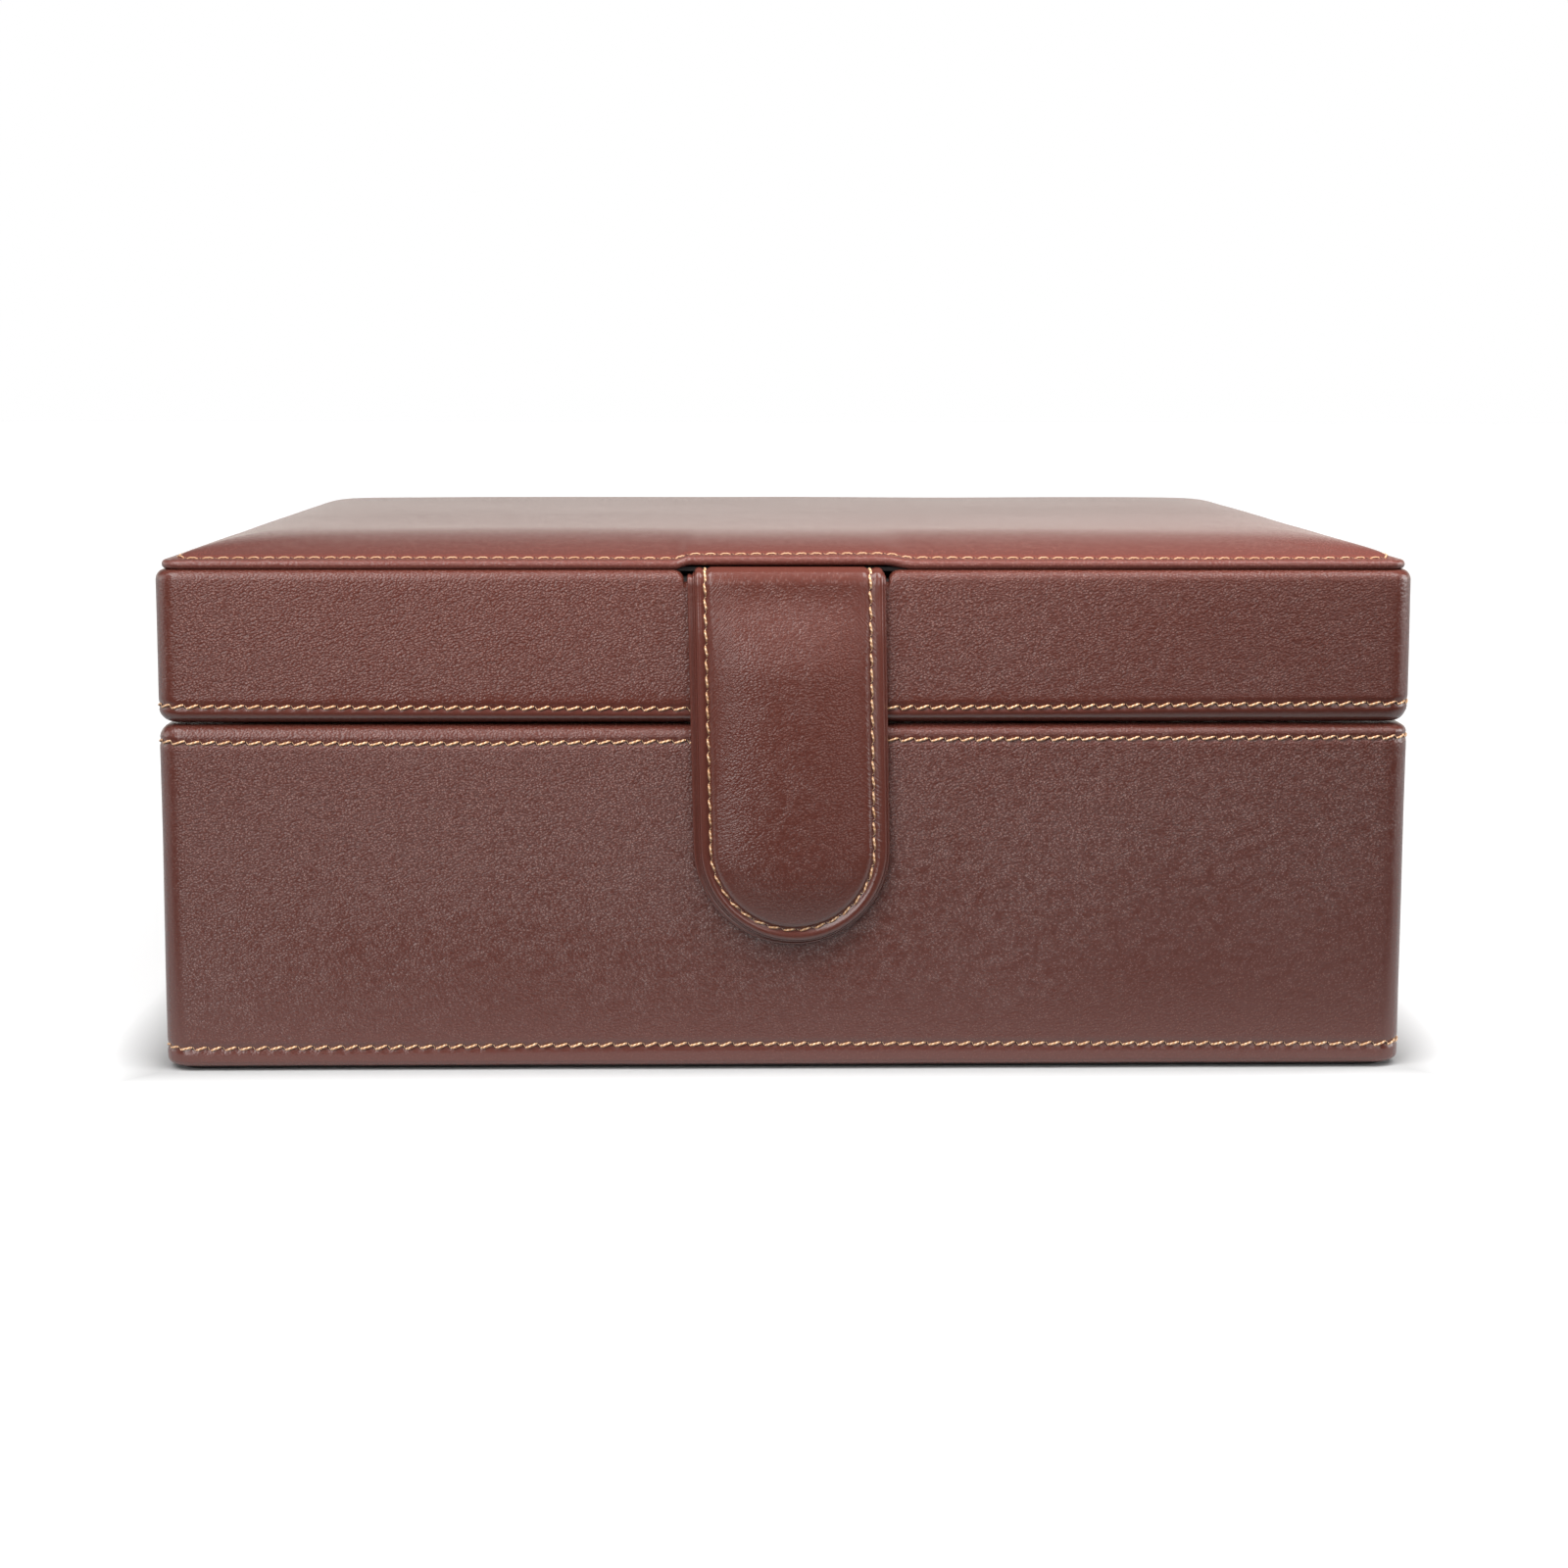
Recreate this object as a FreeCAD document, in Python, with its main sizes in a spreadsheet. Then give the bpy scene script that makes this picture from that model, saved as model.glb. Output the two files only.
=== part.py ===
import FreeCAD
import Part
import Sketcher
import math
import os

# Leather jewellery case: a board box wrapped in leather, with a hinged lid, a padded top panel,
# a closing tab held by a magnet, suede lining, compartments and ring rolls.
# Millimetres, +Z up, +X to the right, front at -Y. The origin is the middle of the face it stands on.

# Driving dimensions: name, value and what it measures
DIMENSIONS = [
    ("case_width", 265.0, "outside of the leather, left to right"),
    ("case_depth", 210.0, "outside of the leather, front to back"),
    ("corner_radius", 6.0, "upright corners of the leather"),
    ("base_height", 74.25, "table to the rim of the base"),
    ("seam_gap", 0.4, "between the two rims when closed"),
    ("lid_height", 31.95, "rim of the lid to the top of its wall"),
    ("leather", 1.2, "thickness of the hide"),
    ("board", 6.0, "thickness of the wall boards"),
    ("edge_roll", 3.0, "radius of the rolled leather edges"),
    ("bottom_cover", 2.0, "thickness of the cover under the base"),
    ("bottom_inset", 2.2, "cover's edge inside the leather"),
    ("bottom_edge", 0.8, "rounding under the cover's edge"),
    ("floor_board", 5.0, "thickness of the base's floor"),
    ("top_board", 5.0, "thickness of the lid's top board"),
    ("lining", 1.6, "thickness of the suede-covered wall panels"),
    ("floor_lining", 2.0, "thickness of the suede floor pad"),
    ("lining_drop", 1.2, "lining's top edge inside the rim"),
    ("lid_pad", 4.0, "thickness of the padded lining under the lid's top"),
    ("divider", 4.0, "thickness of a divider"),
    ("divider_height", 57.0, "floor pad to the top of a divider"),
    ("ring_bay_width", 88.0, "ring bay, lining to divider"),
    ("ring_block_height", 30.0, "block that raises the ring rolls"),
    ("ring_roll_height", 22.0, "height of a ring roll"),
    ("ring_roll_count", 11, "ring rolls in the bay"),
    ("ring_roll_end", 2.5, "rounding of a ring roll's ends"),
    ("soft_gap", 0.3, "slack round each ring roll"),
    ("panel_inset", 1.4, "top panel's edge inside the lid wall"),
    ("panel_corner", 4.6, "corner radius of the top panel"),
    ("panel_backing", 0.8, "card under the top panel's foam"),
    ("panel_bullnose", 0.9, "rounding of the top panel's edge"),
    ("panel_flange", 1.2, "flat border of the top panel, outside its crown"),
    ("crown_run", 34.0, "border to the flat of the crown"),
    ("crown_rise", 5.2, "height of the crown over the border"),
    ("crown_corner", 20.0, "growth of the corner radius up the crown"),
    ("tab_width", 41.5, "closing tab, side to side"),
    ("tab_length", 76.1, "tab's pivot to its lowest point"),
    ("tab_thickness", 5.0, "closing tab, back to front"),
    ("tab_offset", 0.8, "tab's middle to the right of the case's"),
    ("tab_edge", 1.8, "rounding of the tab's front edge"),
    ("tab_border", 4.2, "tab's edge to its padded core"),
    ("tab_clearance", 0.4, "tab's back to the front of the case"),
    ("tab_drop", 0.5, "top of the tab's bend below the top panel"),
    ("tongue", 1.6, "thickness of the tab's fixed tongue"),
    ("tongue_length", 34.0, "tongue's reach under the top panel"),
    ("magnet_radius", 7.0, "tab magnet and keeper disc"),
    ("magnet_thickness", 1.6, "tab magnet"),
    ("keeper_thickness", 1.5, "steel keeper disc"),
    ("hinge_end", 52.5, "side of the case to the middle of a hinge"),
    ("hinge_length", 36.0, "length of a hinge"),
    ("hinge_inset", 1.8, "hinge pin's axis inside the back of the case"),
    ("hinge_barrel", 1.9, "radius of the knuckles"),
    ("hinge_pin", 1.0, "radius of the hinge pin"),
    ("hinge_play", 0.3, "room round the leaves and knuckles"),
    ("leaf_margin", 0.4, "leaf's inner edge inside the wall"),
    ("knuckle_gap", 0.2, "between neighbouring knuckles"),
    ("running_clearance", 0.05, "pin in knuckle, and screw in hole"),
    ("fit_clearance", 0.1, "disc in its pocket"),
    ("screw_head", 1.3, "radius of a screw's head"),
    ("screw_shank", 0.7, "radius of a screw's shank"),
    ("screw_length", 9.0, "length of a screw, head and all"),
]
KNUCKLES = 5
CROWN_STEPS = 4

# Places worked out from the driving dimensions
HALF_WIDTH = "Dims.case_width / 2"
HALF_DEPTH = "Dims.case_depth / 2"
WALL = "(Dims.leather + Dims.board)"
OPENING_WIDTH = f"(Dims.case_width - 2 * {WALL})"
OPENING_DEPTH = f"(Dims.case_depth - 2 * {WALL})"
INNER_WIDTH = f"({OPENING_WIDTH} - 2 * Dims.lining)"
INNER_DEPTH = f"({OPENING_DEPTH} - 2 * Dims.lining)"
LID_RIM = "(Dims.base_height + Dims.seam_gap)"
LID_TOP = f"({LID_RIM} + Dims.lid_height)"
FLOOR_TOP = "(Dims.bottom_cover + Dims.floor_board)"
PAD_TOP = f"({FLOOR_TOP} + Dims.floor_lining)"
TAB_PIVOT_Y = f"(-{HALF_DEPTH} - Dims.tab_clearance - Dims.tab_thickness / 2)"
TAB_PIVOT_Z = f"({LID_TOP} - Dims.tab_drop - Dims.tab_thickness / 2)"
TAB_ROUND_Z = f"({TAB_PIVOT_Z} - Dims.tab_length + Dims.tab_width / 2)"
HINGE_Y = f"({HALF_DEPTH} - Dims.hinge_inset)"
HINGE_Z = "(Dims.base_height + Dims.seam_gap / 2)"
HINGE_OFFSET = f"({HALF_WIDTH} - Dims.hinge_end)"
KNUCKLE_PITCH = f"(Dims.hinge_length / {KNUCKLES})"
LEAF_THICKNESS = "(Dims.leather + Dims.seam_gap / 2 - Dims.hinge_play / 2)"
LEAF_INNER_Y = f"({HALF_DEPTH} - {WALL} + Dims.leaf_margin)"
SCREW_Y = f"(({LEAF_INNER_Y} + {HINGE_Y} - Dims.hinge_barrel) / 2)"

TURNS = {
    "X": FreeCAD.Rotation(FreeCAD.Vector(0, 1, 0), 90),
    "Y": FreeCAD.Rotation(FreeCAD.Vector(1, 0, 0), -90),
    "Z": FreeCAD.Rotation(),
}
BAR_TURNS = {
    ("X", True): FreeCAD.Rotation(),
    ("Y", True): FreeCAD.Rotation(FreeCAD.Vector(0, 0, 1), 90),
    ("X", False): FreeCAD.Rotation(FreeCAD.Vector(1, 0, 0), 180),
    ("Y", False): FreeCAD.Rotation(FreeCAD.Vector(1, 1, 0), 180),
}
TOLERANCE = 1e-6

doc = FreeCAD.newDocument("JewelleryCase")
dims = doc.addObject("Spreadsheet::Sheet", "Dims")
for row, (alias, size, meaning) in enumerate(DIMENSIONS, start=1):
    dims.set(f"A{row}", alias)
    dims.set(f"B{row}", str(size))
    dims.set(f"C{row}", meaning)
    dims.setAlias(f"B{row}", alias)
working = doc.addObject("Spreadsheet::Sheet", "Working")
doc.recompute()
nodes = {}


def number(expression):
    """Present value of an expression on the driving dimensions."""
    working.set("A1", f"={expression}")
    working.recompute()
    return float(working.get("A1"))


def bind(item, sizes):
    for name, expression in sizes.items():
        item.setExpression(name, expression)
    return item


def place(item, x, y, z):
    bases = {"Placement.Base.x": x, "Placement.Base.y": y, "Placement.Base.z": z}
    return bind(item, bases)


def node(item, name):
    """Makes an object a sub-part of the case, under the name of its file."""
    item.Label = name
    nodes[name] = item
    return item


# Part primitives and booleans bound to the sheet

def block(name, size, corner):
    box = doc.addObject("Part::Box", name)
    bind(box, dict(zip(("Length", "Width", "Height"), size)))
    return place(box, *corner)


def rod(name, radius, length, start, along):
    cylinder = doc.addObject("Part::Cylinder", name)
    cylinder.Placement.Rotation = TURNS[along]
    bind(cylinder, {"Radius": radius, "Height": length})
    return place(cylinder, *start)


def fuse(name, items):
    union = doc.addObject("Part::MultiFuse", name)
    union.Shapes = items
    return union


def cut(name, base, tools):
    for count, tool in enumerate(tools, start=1):
        result = doc.addObject("Part::Cut", f"{name}_cut{count}")
        result.Base = base
        result.Tool = tool
        base = result
    return base


def common(name, first, second):
    shared = doc.addObject("Part::Common", name)
    shared.Base = first
    shared.Tool = second
    return shared


# Sketches and bodies bound to the sheet

def plane(body, role):
    return next(item for item in body.Origin.OriginFeatures if item.Role == role)


def new_sketch(body, name, role, offset):
    sketch = body.newObject("Sketcher::SketchObject", name)
    sketch.AttachmentSupport = (plane(body, role), [""])
    sketch.MapMode = "FlatFace"
    sketch.setExpression("AttachmentOffset.Base.z", offset)
    return sketch


def dimension(sketch, name, expression, kind, *where):
    """Adds a named sketch dimension that follows the sheet."""
    index = sketch.addConstraint(Sketcher.Constraint(kind, *where, number(expression)))
    sketch.renameConstraint(index, name)
    sketch.setExpression(f"Constraints.{name}", expression)


def rounded_outline(body, name, width, depth, radius, height):
    """Rectangle with round corners about the Z axis, at a height."""
    sketch = new_sketch(body, name, "XY_Plane", height)
    x, y, r = number(width) / 2, number(depth) / 2, number(radius)
    corners = [(x, -y), (x, y), (-x, y), (-x, -y)]
    quarter = math.pi / 2
    for side, (cx, cy) in enumerate(corners):
        px, py = corners[side - 1]
        along = FreeCAD.Vector(cx - px, cy - py, 0).normalize() * r
        start = FreeCAD.Vector(px, py, 0) + along
        end = FreeCAD.Vector(cx, cy, 0) - along
        sketch.addGeometry(Part.LineSegment(start, end))
        centre = FreeCAD.Vector(cx - r if cx > 0 else cx + r, cy - r if cy > 0 else cy + r, 0)
        circle = Part.Circle(centre, FreeCAD.Vector(0, 0, 1), r)
        sketch.addGeometry(Part.ArcOfCircle(circle, (side - 1) * quarter, side * quarter))
    for item in range(8):
        sketch.addConstraint(Sketcher.Constraint("Tangent", item, 2, (item + 1) % 8, 1))
    for item in (0, 4):
        sketch.addConstraint(Sketcher.Constraint("Horizontal", item))
        sketch.addConstraint(Sketcher.Constraint("Vertical", item + 2))
    for item in (3, 5, 7):
        sketch.addConstraint(Sketcher.Constraint("Equal", 1, item))
    sketch.addConstraint(Sketcher.Constraint("Symmetric", 7, 3, 3, 3, -1, 1))
    dimension(sketch, "radius", radius, "Radius", 1)
    dimension(sketch, "width", width, "DistanceX", 6, 1, 2, 1)
    dimension(sketch, "depth", depth, "DistanceY", 0, 1, 4, 1)
    return sketch


def arch_outline(body, name, role, offset, width, flat, round_centre):
    """Two straight sides joined by a half circle at one end and a straight edge at the other."""
    sketch = new_sketch(body, name, role, offset)
    half, edge, middle = number(width) / 2, number(flat), number(round_centre)
    hangs = middle < edge
    first, last = (math.pi, 2 * math.pi) if hangs else (0, math.pi)
    near = -half if hangs else half
    circle = Part.Circle(FreeCAD.Vector(0, middle, 0), FreeCAD.Vector(0, 0, 1), half)
    sketch.addGeometry(Part.ArcOfCircle(circle, first, last))
    corners = [(-near, middle), (-near, edge), (near, edge), (near, middle)]
    points = [FreeCAD.Vector(x, y, 0) for x, y in corners]
    for start, end in zip(points, points[1:]):
        sketch.addGeometry(Part.LineSegment(start, end))
    sketch.addConstraint(Sketcher.Constraint("Tangent", 0, 2, 1, 1))
    sketch.addConstraint(Sketcher.Constraint("Coincident", 1, 2, 2, 1))
    sketch.addConstraint(Sketcher.Constraint("Coincident", 2, 2, 3, 1))
    sketch.addConstraint(Sketcher.Constraint("Tangent", 3, 2, 0, 1))
    sketch.addConstraint(Sketcher.Constraint("Vertical", 1))
    sketch.addConstraint(Sketcher.Constraint("Horizontal", 2))
    sketch.addConstraint(Sketcher.Constraint("Vertical", 3))
    sketch.addConstraint(Sketcher.Constraint("PointOnObject", 0, 3, -2))
    dimension(sketch, "radius", f"{width} / 2", "Radius", 0)
    dimension(sketch, "middle", round_centre, "DistanceY", -1, 1, 0, 3)
    dimension(sketch, "edge", flat, "DistanceY", -1, 1, 1, 2)
    return sketch


def pad(body, sketch, length):
    feature = body.newObject("PartDesign::Pad", f"{body.Name}_pad")
    feature.Profile = sketch
    bind(feature, {"Length": length})
    doc.recompute()
    return feature


def fillet(body, base, radius, chosen):
    """Rounds the edges of a feature that a test on their bounding box chooses."""
    names = [f"Edge{i}" for i, edge in enumerate(base.Shape.Edges, start=1) if chosen(edge.BoundBox)]
    feature = body.newObject("PartDesign::Fillet", f"{body.Name}_round_{len(body.Group)}")
    feature.Base = (base, names)
    bind(feature, {"Radius": radius})
    doc.recompute()
    return feature


def level_with(*heights):
    """Test for edges that lie flat at one of some heights."""
    def chosen(box):
        return any(abs(box.ZMin - z) + abs(box.ZMax - z) < TOLERANCE for z in heights)
    return chosen


def slab(name, width, depth, radius, bottom, height):
    body = doc.addObject("PartDesign::Body", name)
    outline = rounded_outline(body, f"{name}_outline", width, depth, radius, bottom)
    return body, pad(body, outline, height)


def rolled_slab(name, inset, bottom, top):
    """The case's plan, inset by a distance, with its upper and lower edges rolled."""
    width, depth = f"Dims.case_width - 2 * {inset}", f"Dims.case_depth - 2 * {inset}"
    low, high = f"({bottom} + {inset})", f"({top} - {inset})"
    radius = f"Dims.corner_radius - {inset}"
    body, base = slab(name, width, depth, radius, low, f"{high} - {low}")
    fillet(body, base, f"Dims.edge_roll - {inset}", level_with(number(low), number(high)))
    return body


def bar(name, thickness, height, length, start, along, rises=True):
    """Bar with one round long edge, such as a suede-covered divider, from its flat edge's middle."""
    body = doc.addObject("PartDesign::Body", name)
    profile = arch_outline(
        body, f"{name}_profile", "YZ_Plane", "0", thickness, "0", f"{height} - {thickness} / 2"
    )
    pad(body, profile, length)
    body.Placement.Rotation = BAR_TURNS[along, rises]
    return place(body, *start)


# Hinges: two butt hinges set into the back rims, with the pin a little inside the back face.
# The rolled rims then meet behind the pin and stop the lid just past upright.

def screw(name, x, face, direction, clearance):
    """Countersunk screw from a leaf's face into the board, or the room it needs with a clearance."""
    head, shank = f"Dims.screw_head + {clearance}", f"Dims.screw_shank + {clearance}"
    sink = "(Dims.screw_head - Dims.screw_shank)"
    cone = doc.addObject("Part::Cone", f"{name}_head")
    down = direction < 0
    radii = (shank, head) if down else (head, shank)
    bind(cone, {"Radius1": radii[0], "Radius2": radii[1], "Height": sink})
    place(cone, x, SCREW_Y, f"{face} - {sink}" if down else face)
    length = f"(Dims.screw_length + {clearance})"
    foot = f"{face} - {length}" if down else f"{face} + {sink}"
    stem = rod(f"{name}_shank", shank, f"{length} - {sink}", (x, SCREW_Y, foot), "Z")
    return fuse(name, [cone, stem])


def leaf(name, middle, low, own, face, direction):
    """Leaf with its own knuckles, room for the other leaf's, the pin's bore and the screw holes."""
    left = f"({middle} - Dims.hinge_length / 2)"
    plate = block(
        f"{name}_plate",
        ("Dims.hinge_length", f"{HINGE_Y} - {LEAF_INNER_Y}", LEAF_THICKNESS),
        (left, LEAF_INNER_Y, low),
    )
    knuckles, notches = [], []
    for index in range(KNUCKLES):
        at = f"({left} + {index} * {KNUCKLE_PITCH})"
        if index in own:
            start = (f"{at} + Dims.knuckle_gap / 2", HINGE_Y, HINGE_Z)
            long = f"{KNUCKLE_PITCH} - Dims.knuckle_gap"
            knuckles.append(rod(f"{name}_knuckle{index}", "Dims.hinge_barrel", long, start, "X"))
        else:
            room = "(Dims.hinge_barrel + Dims.hinge_play)"
            size = (KNUCKLE_PITCH, f"2 * {room}", f"2 * {room}")
            corner = (at, f"{HINGE_Y} - {room}", f"{HINGE_Z} - {room}")
            notches.append(block(f"{name}_notch{index}", size, corner))
    solid = fuse(f"{name}_solid", [cut(name, plate, notches), *knuckles])
    bore = rod(
        f"{name}_bore",
        "Dims.hinge_pin + Dims.running_clearance",
        "Dims.hinge_length",
        (left, HINGE_Y, HINGE_Z),
        "X",
    )
    ends = [index for index in own if index != KNUCKLES // 2]
    places = [f"({left} + {index + 0.5} * {KNUCKLE_PITCH})" for index in ends]
    screws, holes = [], []
    for count, x in enumerate(places):
        screws.append(screw(f"{name}_screw{count}", x, face, direction, "0"))
        holes.append(screw(f"{name}_hole{count}", x, face, direction, "Dims.running_clearance"))
    node(cut(f"{name}_bored", solid, [bore, *holes]), name)
    return screws, holes


def hinge_room(name, middle, low):
    """Room cut in a rim's leather for a leaf, and in leather and board for the knuckles."""
    length = "(Dims.hinge_length + 2 * Dims.hinge_play)"
    left = f"({middle} - {length} / 2)"
    seat = block(
        f"{name}_seat", (length, f"2 * {WALL}", "Dims.leather + Dims.seam_gap / 2"),
        (left, f"{HALF_DEPTH} - {WALL}", low),
    )
    radius = "Dims.hinge_barrel + Dims.hinge_play"
    groove = rod(f"{name}_groove", radius, length, (left, HINGE_Y, HINGE_Z), "X")
    return seat, groove


base_leaf_low = "(Dims.base_height - Dims.leather)"
base_leaf_face = f"({base_leaf_low} + {LEAF_THICKNESS})"
lid_leaf_low = f"({LID_RIM} + Dims.leather - {LEAF_THICKNESS})"
base_screws, lid_screws, base_seats, lid_seats, grooves = [], [], [], [], []
base_holes, lid_holes = [], []
for side, middle in (("left", f"-{HINGE_OFFSET}"), ("right", HINGE_OFFSET)):
    screws, holes = leaf(f"hinge_{side}_base_leaf", middle, base_leaf_low, (0, 2, 4), base_leaf_face, -1)
    base_screws += screws
    base_holes += holes
    screws, holes = leaf(f"hinge_{side}_lid_leaf", middle, lid_leaf_low, (1, 3), lid_leaf_low, 1)
    lid_screws += screws
    lid_holes += holes
    pin_start = (f"{middle} - Dims.hinge_length / 2", HINGE_Y, HINGE_Z)
    pin_name = f"hinge_{side}_pin"
    node(rod(pin_name, "Dims.hinge_pin", "Dims.hinge_length", pin_start, "X"), pin_name)
    seat, groove = hinge_room(f"hinge_{side}_base_room", middle, base_leaf_low)
    base_seats.append(seat)
    grooves.append(groove)
    seat, groove = hinge_room(f"hinge_{side}_lid_room", middle, HINGE_Z)
    lid_seats.append(seat)
for name, screws in (("hinge_base_screws", base_screws), ("hinge_lid_screws", lid_screws)):
    group = doc.addObject("Part::Compound", name)
    group.Links = screws
    node(group, name)


# Carcasses: four wall boards inside each leather wrap, shaped to the inside of the leather

def wall_boards(prefix, envelope, bottom, height, cutters):
    """Front and back boards run the full width; the side boards fit between them."""
    side_depth = f"{OPENING_DEPTH}"
    slabs = {
        "front": ("Dims.case_width", WALL, f"-{HALF_WIDTH}", f"-{HALF_DEPTH}"),
        "back": ("Dims.case_width", WALL, f"-{HALF_WIDTH}", f"{HALF_DEPTH} - {WALL}"),
        "left": (WALL, side_depth, f"-{HALF_WIDTH}", f"-{OPENING_DEPTH} / 2"),
        "right": (WALL, side_depth, f"{HALF_WIDTH} - {WALL}", f"-{OPENING_DEPTH} / 2"),
    }
    for side, (length, depth, x, y) in slabs.items():
        name = f"{prefix}_{side}_board"
        room = block(f"{name}_room", (length, depth, height), (x, y, bottom))
        board = common(f"{name}_blank", envelope, room)
        node(cut(name, board, cutters.get(side, [])), name)


def opening(name, bottom, height):
    size = (OPENING_WIDTH, OPENING_DEPTH, height)
    return block(name, size, (f"-{OPENING_WIDTH} / 2", f"-{OPENING_DEPTH} / 2", bottom))


keeper_start = ("Dims.tab_offset", f"-{HALF_DEPTH} + Dims.leather", TAB_ROUND_Z)
keeper = rod("base_keeper_disc", "Dims.magnet_radius", "Dims.keeper_thickness", keeper_start, "Y")
node(keeper, "base_keeper_disc")
keeper_pocket = rod(
    "keeper_pocket",
    "Dims.magnet_radius + Dims.fit_clearance",
    "Dims.keeper_thickness + Dims.fit_clearance",
    keeper_start,
    "Y",
)

base_height = "(Dims.base_height - Dims.bottom_cover)"
base_skin = rolled_slab("base_skin", "0", "Dims.bottom_cover", "Dims.base_height")
base_envelope = rolled_slab("base_envelope", "Dims.leather", "Dims.bottom_cover", "Dims.base_height")
base_opening = opening("base_opening", "Dims.bottom_cover", base_height)
base_cutters = {"front": [keeper_pocket], "back": [*grooves, *base_holes]}
wall_boards("base", base_envelope, "Dims.bottom_cover", base_height, base_cutters)
base_wrap_tools = [base_envelope, base_opening, *base_seats, *grooves]
node(cut("base_leather_wrap", base_skin, base_wrap_tools), "base_leather_wrap")
node(opening("base_floor_board", "Dims.bottom_cover", "Dims.floor_board"), "base_floor_board")

recess_play = "Dims.hinge_play"
tongue_recess = block(
    "tongue_recess",
    (f"Dims.tab_width + 2 * {recess_play}", f"Dims.tongue_length + Dims.leather + {recess_play}",
     "Dims.tongue + Dims.leather"),
    (f"Dims.tab_offset - Dims.tab_width / 2 - {recess_play}", f"-{HALF_DEPTH} - Dims.leather",
     f"{LID_TOP} - Dims.tongue"),
)
lid_skin = rolled_slab("lid_skin", "0", LID_RIM, LID_TOP)
lid_envelope = rolled_slab("lid_envelope", "Dims.leather", LID_RIM, LID_TOP)
lid_opening = opening("lid_opening", LID_RIM, "Dims.lid_height")
lid_cutters = {"front": [tongue_recess], "back": [*grooves, *lid_holes]}
wall_boards("lid", lid_envelope, LID_RIM, "Dims.lid_height", lid_cutters)
lid_wrap_tools = [lid_envelope, lid_opening, tongue_recess, *lid_seats, *grooves]
node(cut("lid_leather_wrap", lid_skin, lid_wrap_tools), "lid_leather_wrap")
top_blank = opening("lid_top_blank", f"{LID_TOP} - Dims.top_board", "Dims.top_board")
node(cut("lid_top_board", top_blank, [tongue_recess]), "lid_top_board")


# Bottom cover: a thin dark sheet under the base, a little inside the leather

cover, cover_pad = slab(
    "base_bottom_cover",
    "Dims.case_width - 2 * Dims.bottom_inset",
    "Dims.case_depth - 2 * Dims.bottom_inset",
    "Dims.corner_radius",
    "0",
    "Dims.bottom_cover",
)
fillet(cover, cover_pad, "Dims.bottom_edge", level_with(0))
node(cover, "base_bottom_cover")


# Linings: suede-covered cards along the walls, a floor pad, and a padded panel under the lid's top

def wall_linings(prefix, bottom, height, rises):
    """Front and back cards run the full opening; the side cards fit between them."""
    across = f"{OPENING_DEPTH} / 2 - Dims.lining / 2"
    beside = f"{OPENING_WIDTH} / 2 - Dims.lining / 2"
    runs = {
        "front": (OPENING_WIDTH, f"-{OPENING_WIDTH} / 2", f"-({across})", "X"),
        "back": (OPENING_WIDTH, f"-{OPENING_WIDTH} / 2", across, "X"),
        "left": (INNER_DEPTH, f"-({beside})", f"-{INNER_DEPTH} / 2", "Y"),
        "right": (INNER_DEPTH, beside, f"-{INNER_DEPTH} / 2", "Y"),
    }
    for side, (length, x, y, along) in runs.items():
        name = f"{prefix}_{side}_lining"
        node(bar(name, "Dims.lining", height, length, (x, y, bottom), along, rises), name)


node(opening("base_floor_lining", FLOOR_TOP, "Dims.floor_lining"), "base_floor_lining")
wall_linings("base", PAD_TOP, f"(Dims.base_height - Dims.lining_drop - {PAD_TOP})", True)
lid_pad_low = f"({LID_TOP} - Dims.top_board - Dims.lid_pad)"
node(opening("lid_pad_lining", lid_pad_low, "Dims.lid_pad"), "lid_pad_lining")
lid_lining_height = f"({lid_pad_low} - {LID_RIM} - Dims.lining_drop)"
wall_linings("lid", lid_pad_low, lid_lining_height, False)


# Compartments: a ring bay on the left, and dividers that make three compartments on the right

DIVIDER_X = f"(-{INNER_WIDTH} / 2 + Dims.ring_bay_width + Dims.divider / 2)"
BAY_X = f"(-{INNER_WIDTH} / 2)"
COMPARTMENT_WIDTH = f"({INNER_WIDTH} - Dims.ring_bay_width - Dims.divider)"
COMPARTMENT_X = f"({INNER_WIDTH} / 2 - {COMPARTMENT_WIDTH})"
SHORT_LENGTH = f"({INNER_DEPTH} / 2 - Dims.divider / 2)"
dividers = {
    "divider_long": (INNER_DEPTH, (DIVIDER_X, f"-{INNER_DEPTH} / 2", PAD_TOP), "Y"),
    "divider_cross": (COMPARTMENT_WIDTH, (COMPARTMENT_X, "0", PAD_TOP), "X"),
    "divider_short": (
        SHORT_LENGTH,
        (f"{COMPARTMENT_X} + {COMPARTMENT_WIDTH} / 2", "Dims.divider / 2", PAD_TOP),
        "Y",
    ),
}
for name, (length, start, along) in dividers.items():
    node(bar(name, "Dims.divider", "Dims.divider_height", length, start, along), name)

block_size = ("Dims.ring_bay_width", INNER_DEPTH, "Dims.ring_block_height")
ring_block = block("ring_bay_block", block_size, (BAY_X, f"-{INNER_DEPTH} / 2", PAD_TOP))
node(ring_block, "ring_bay_block")

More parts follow.
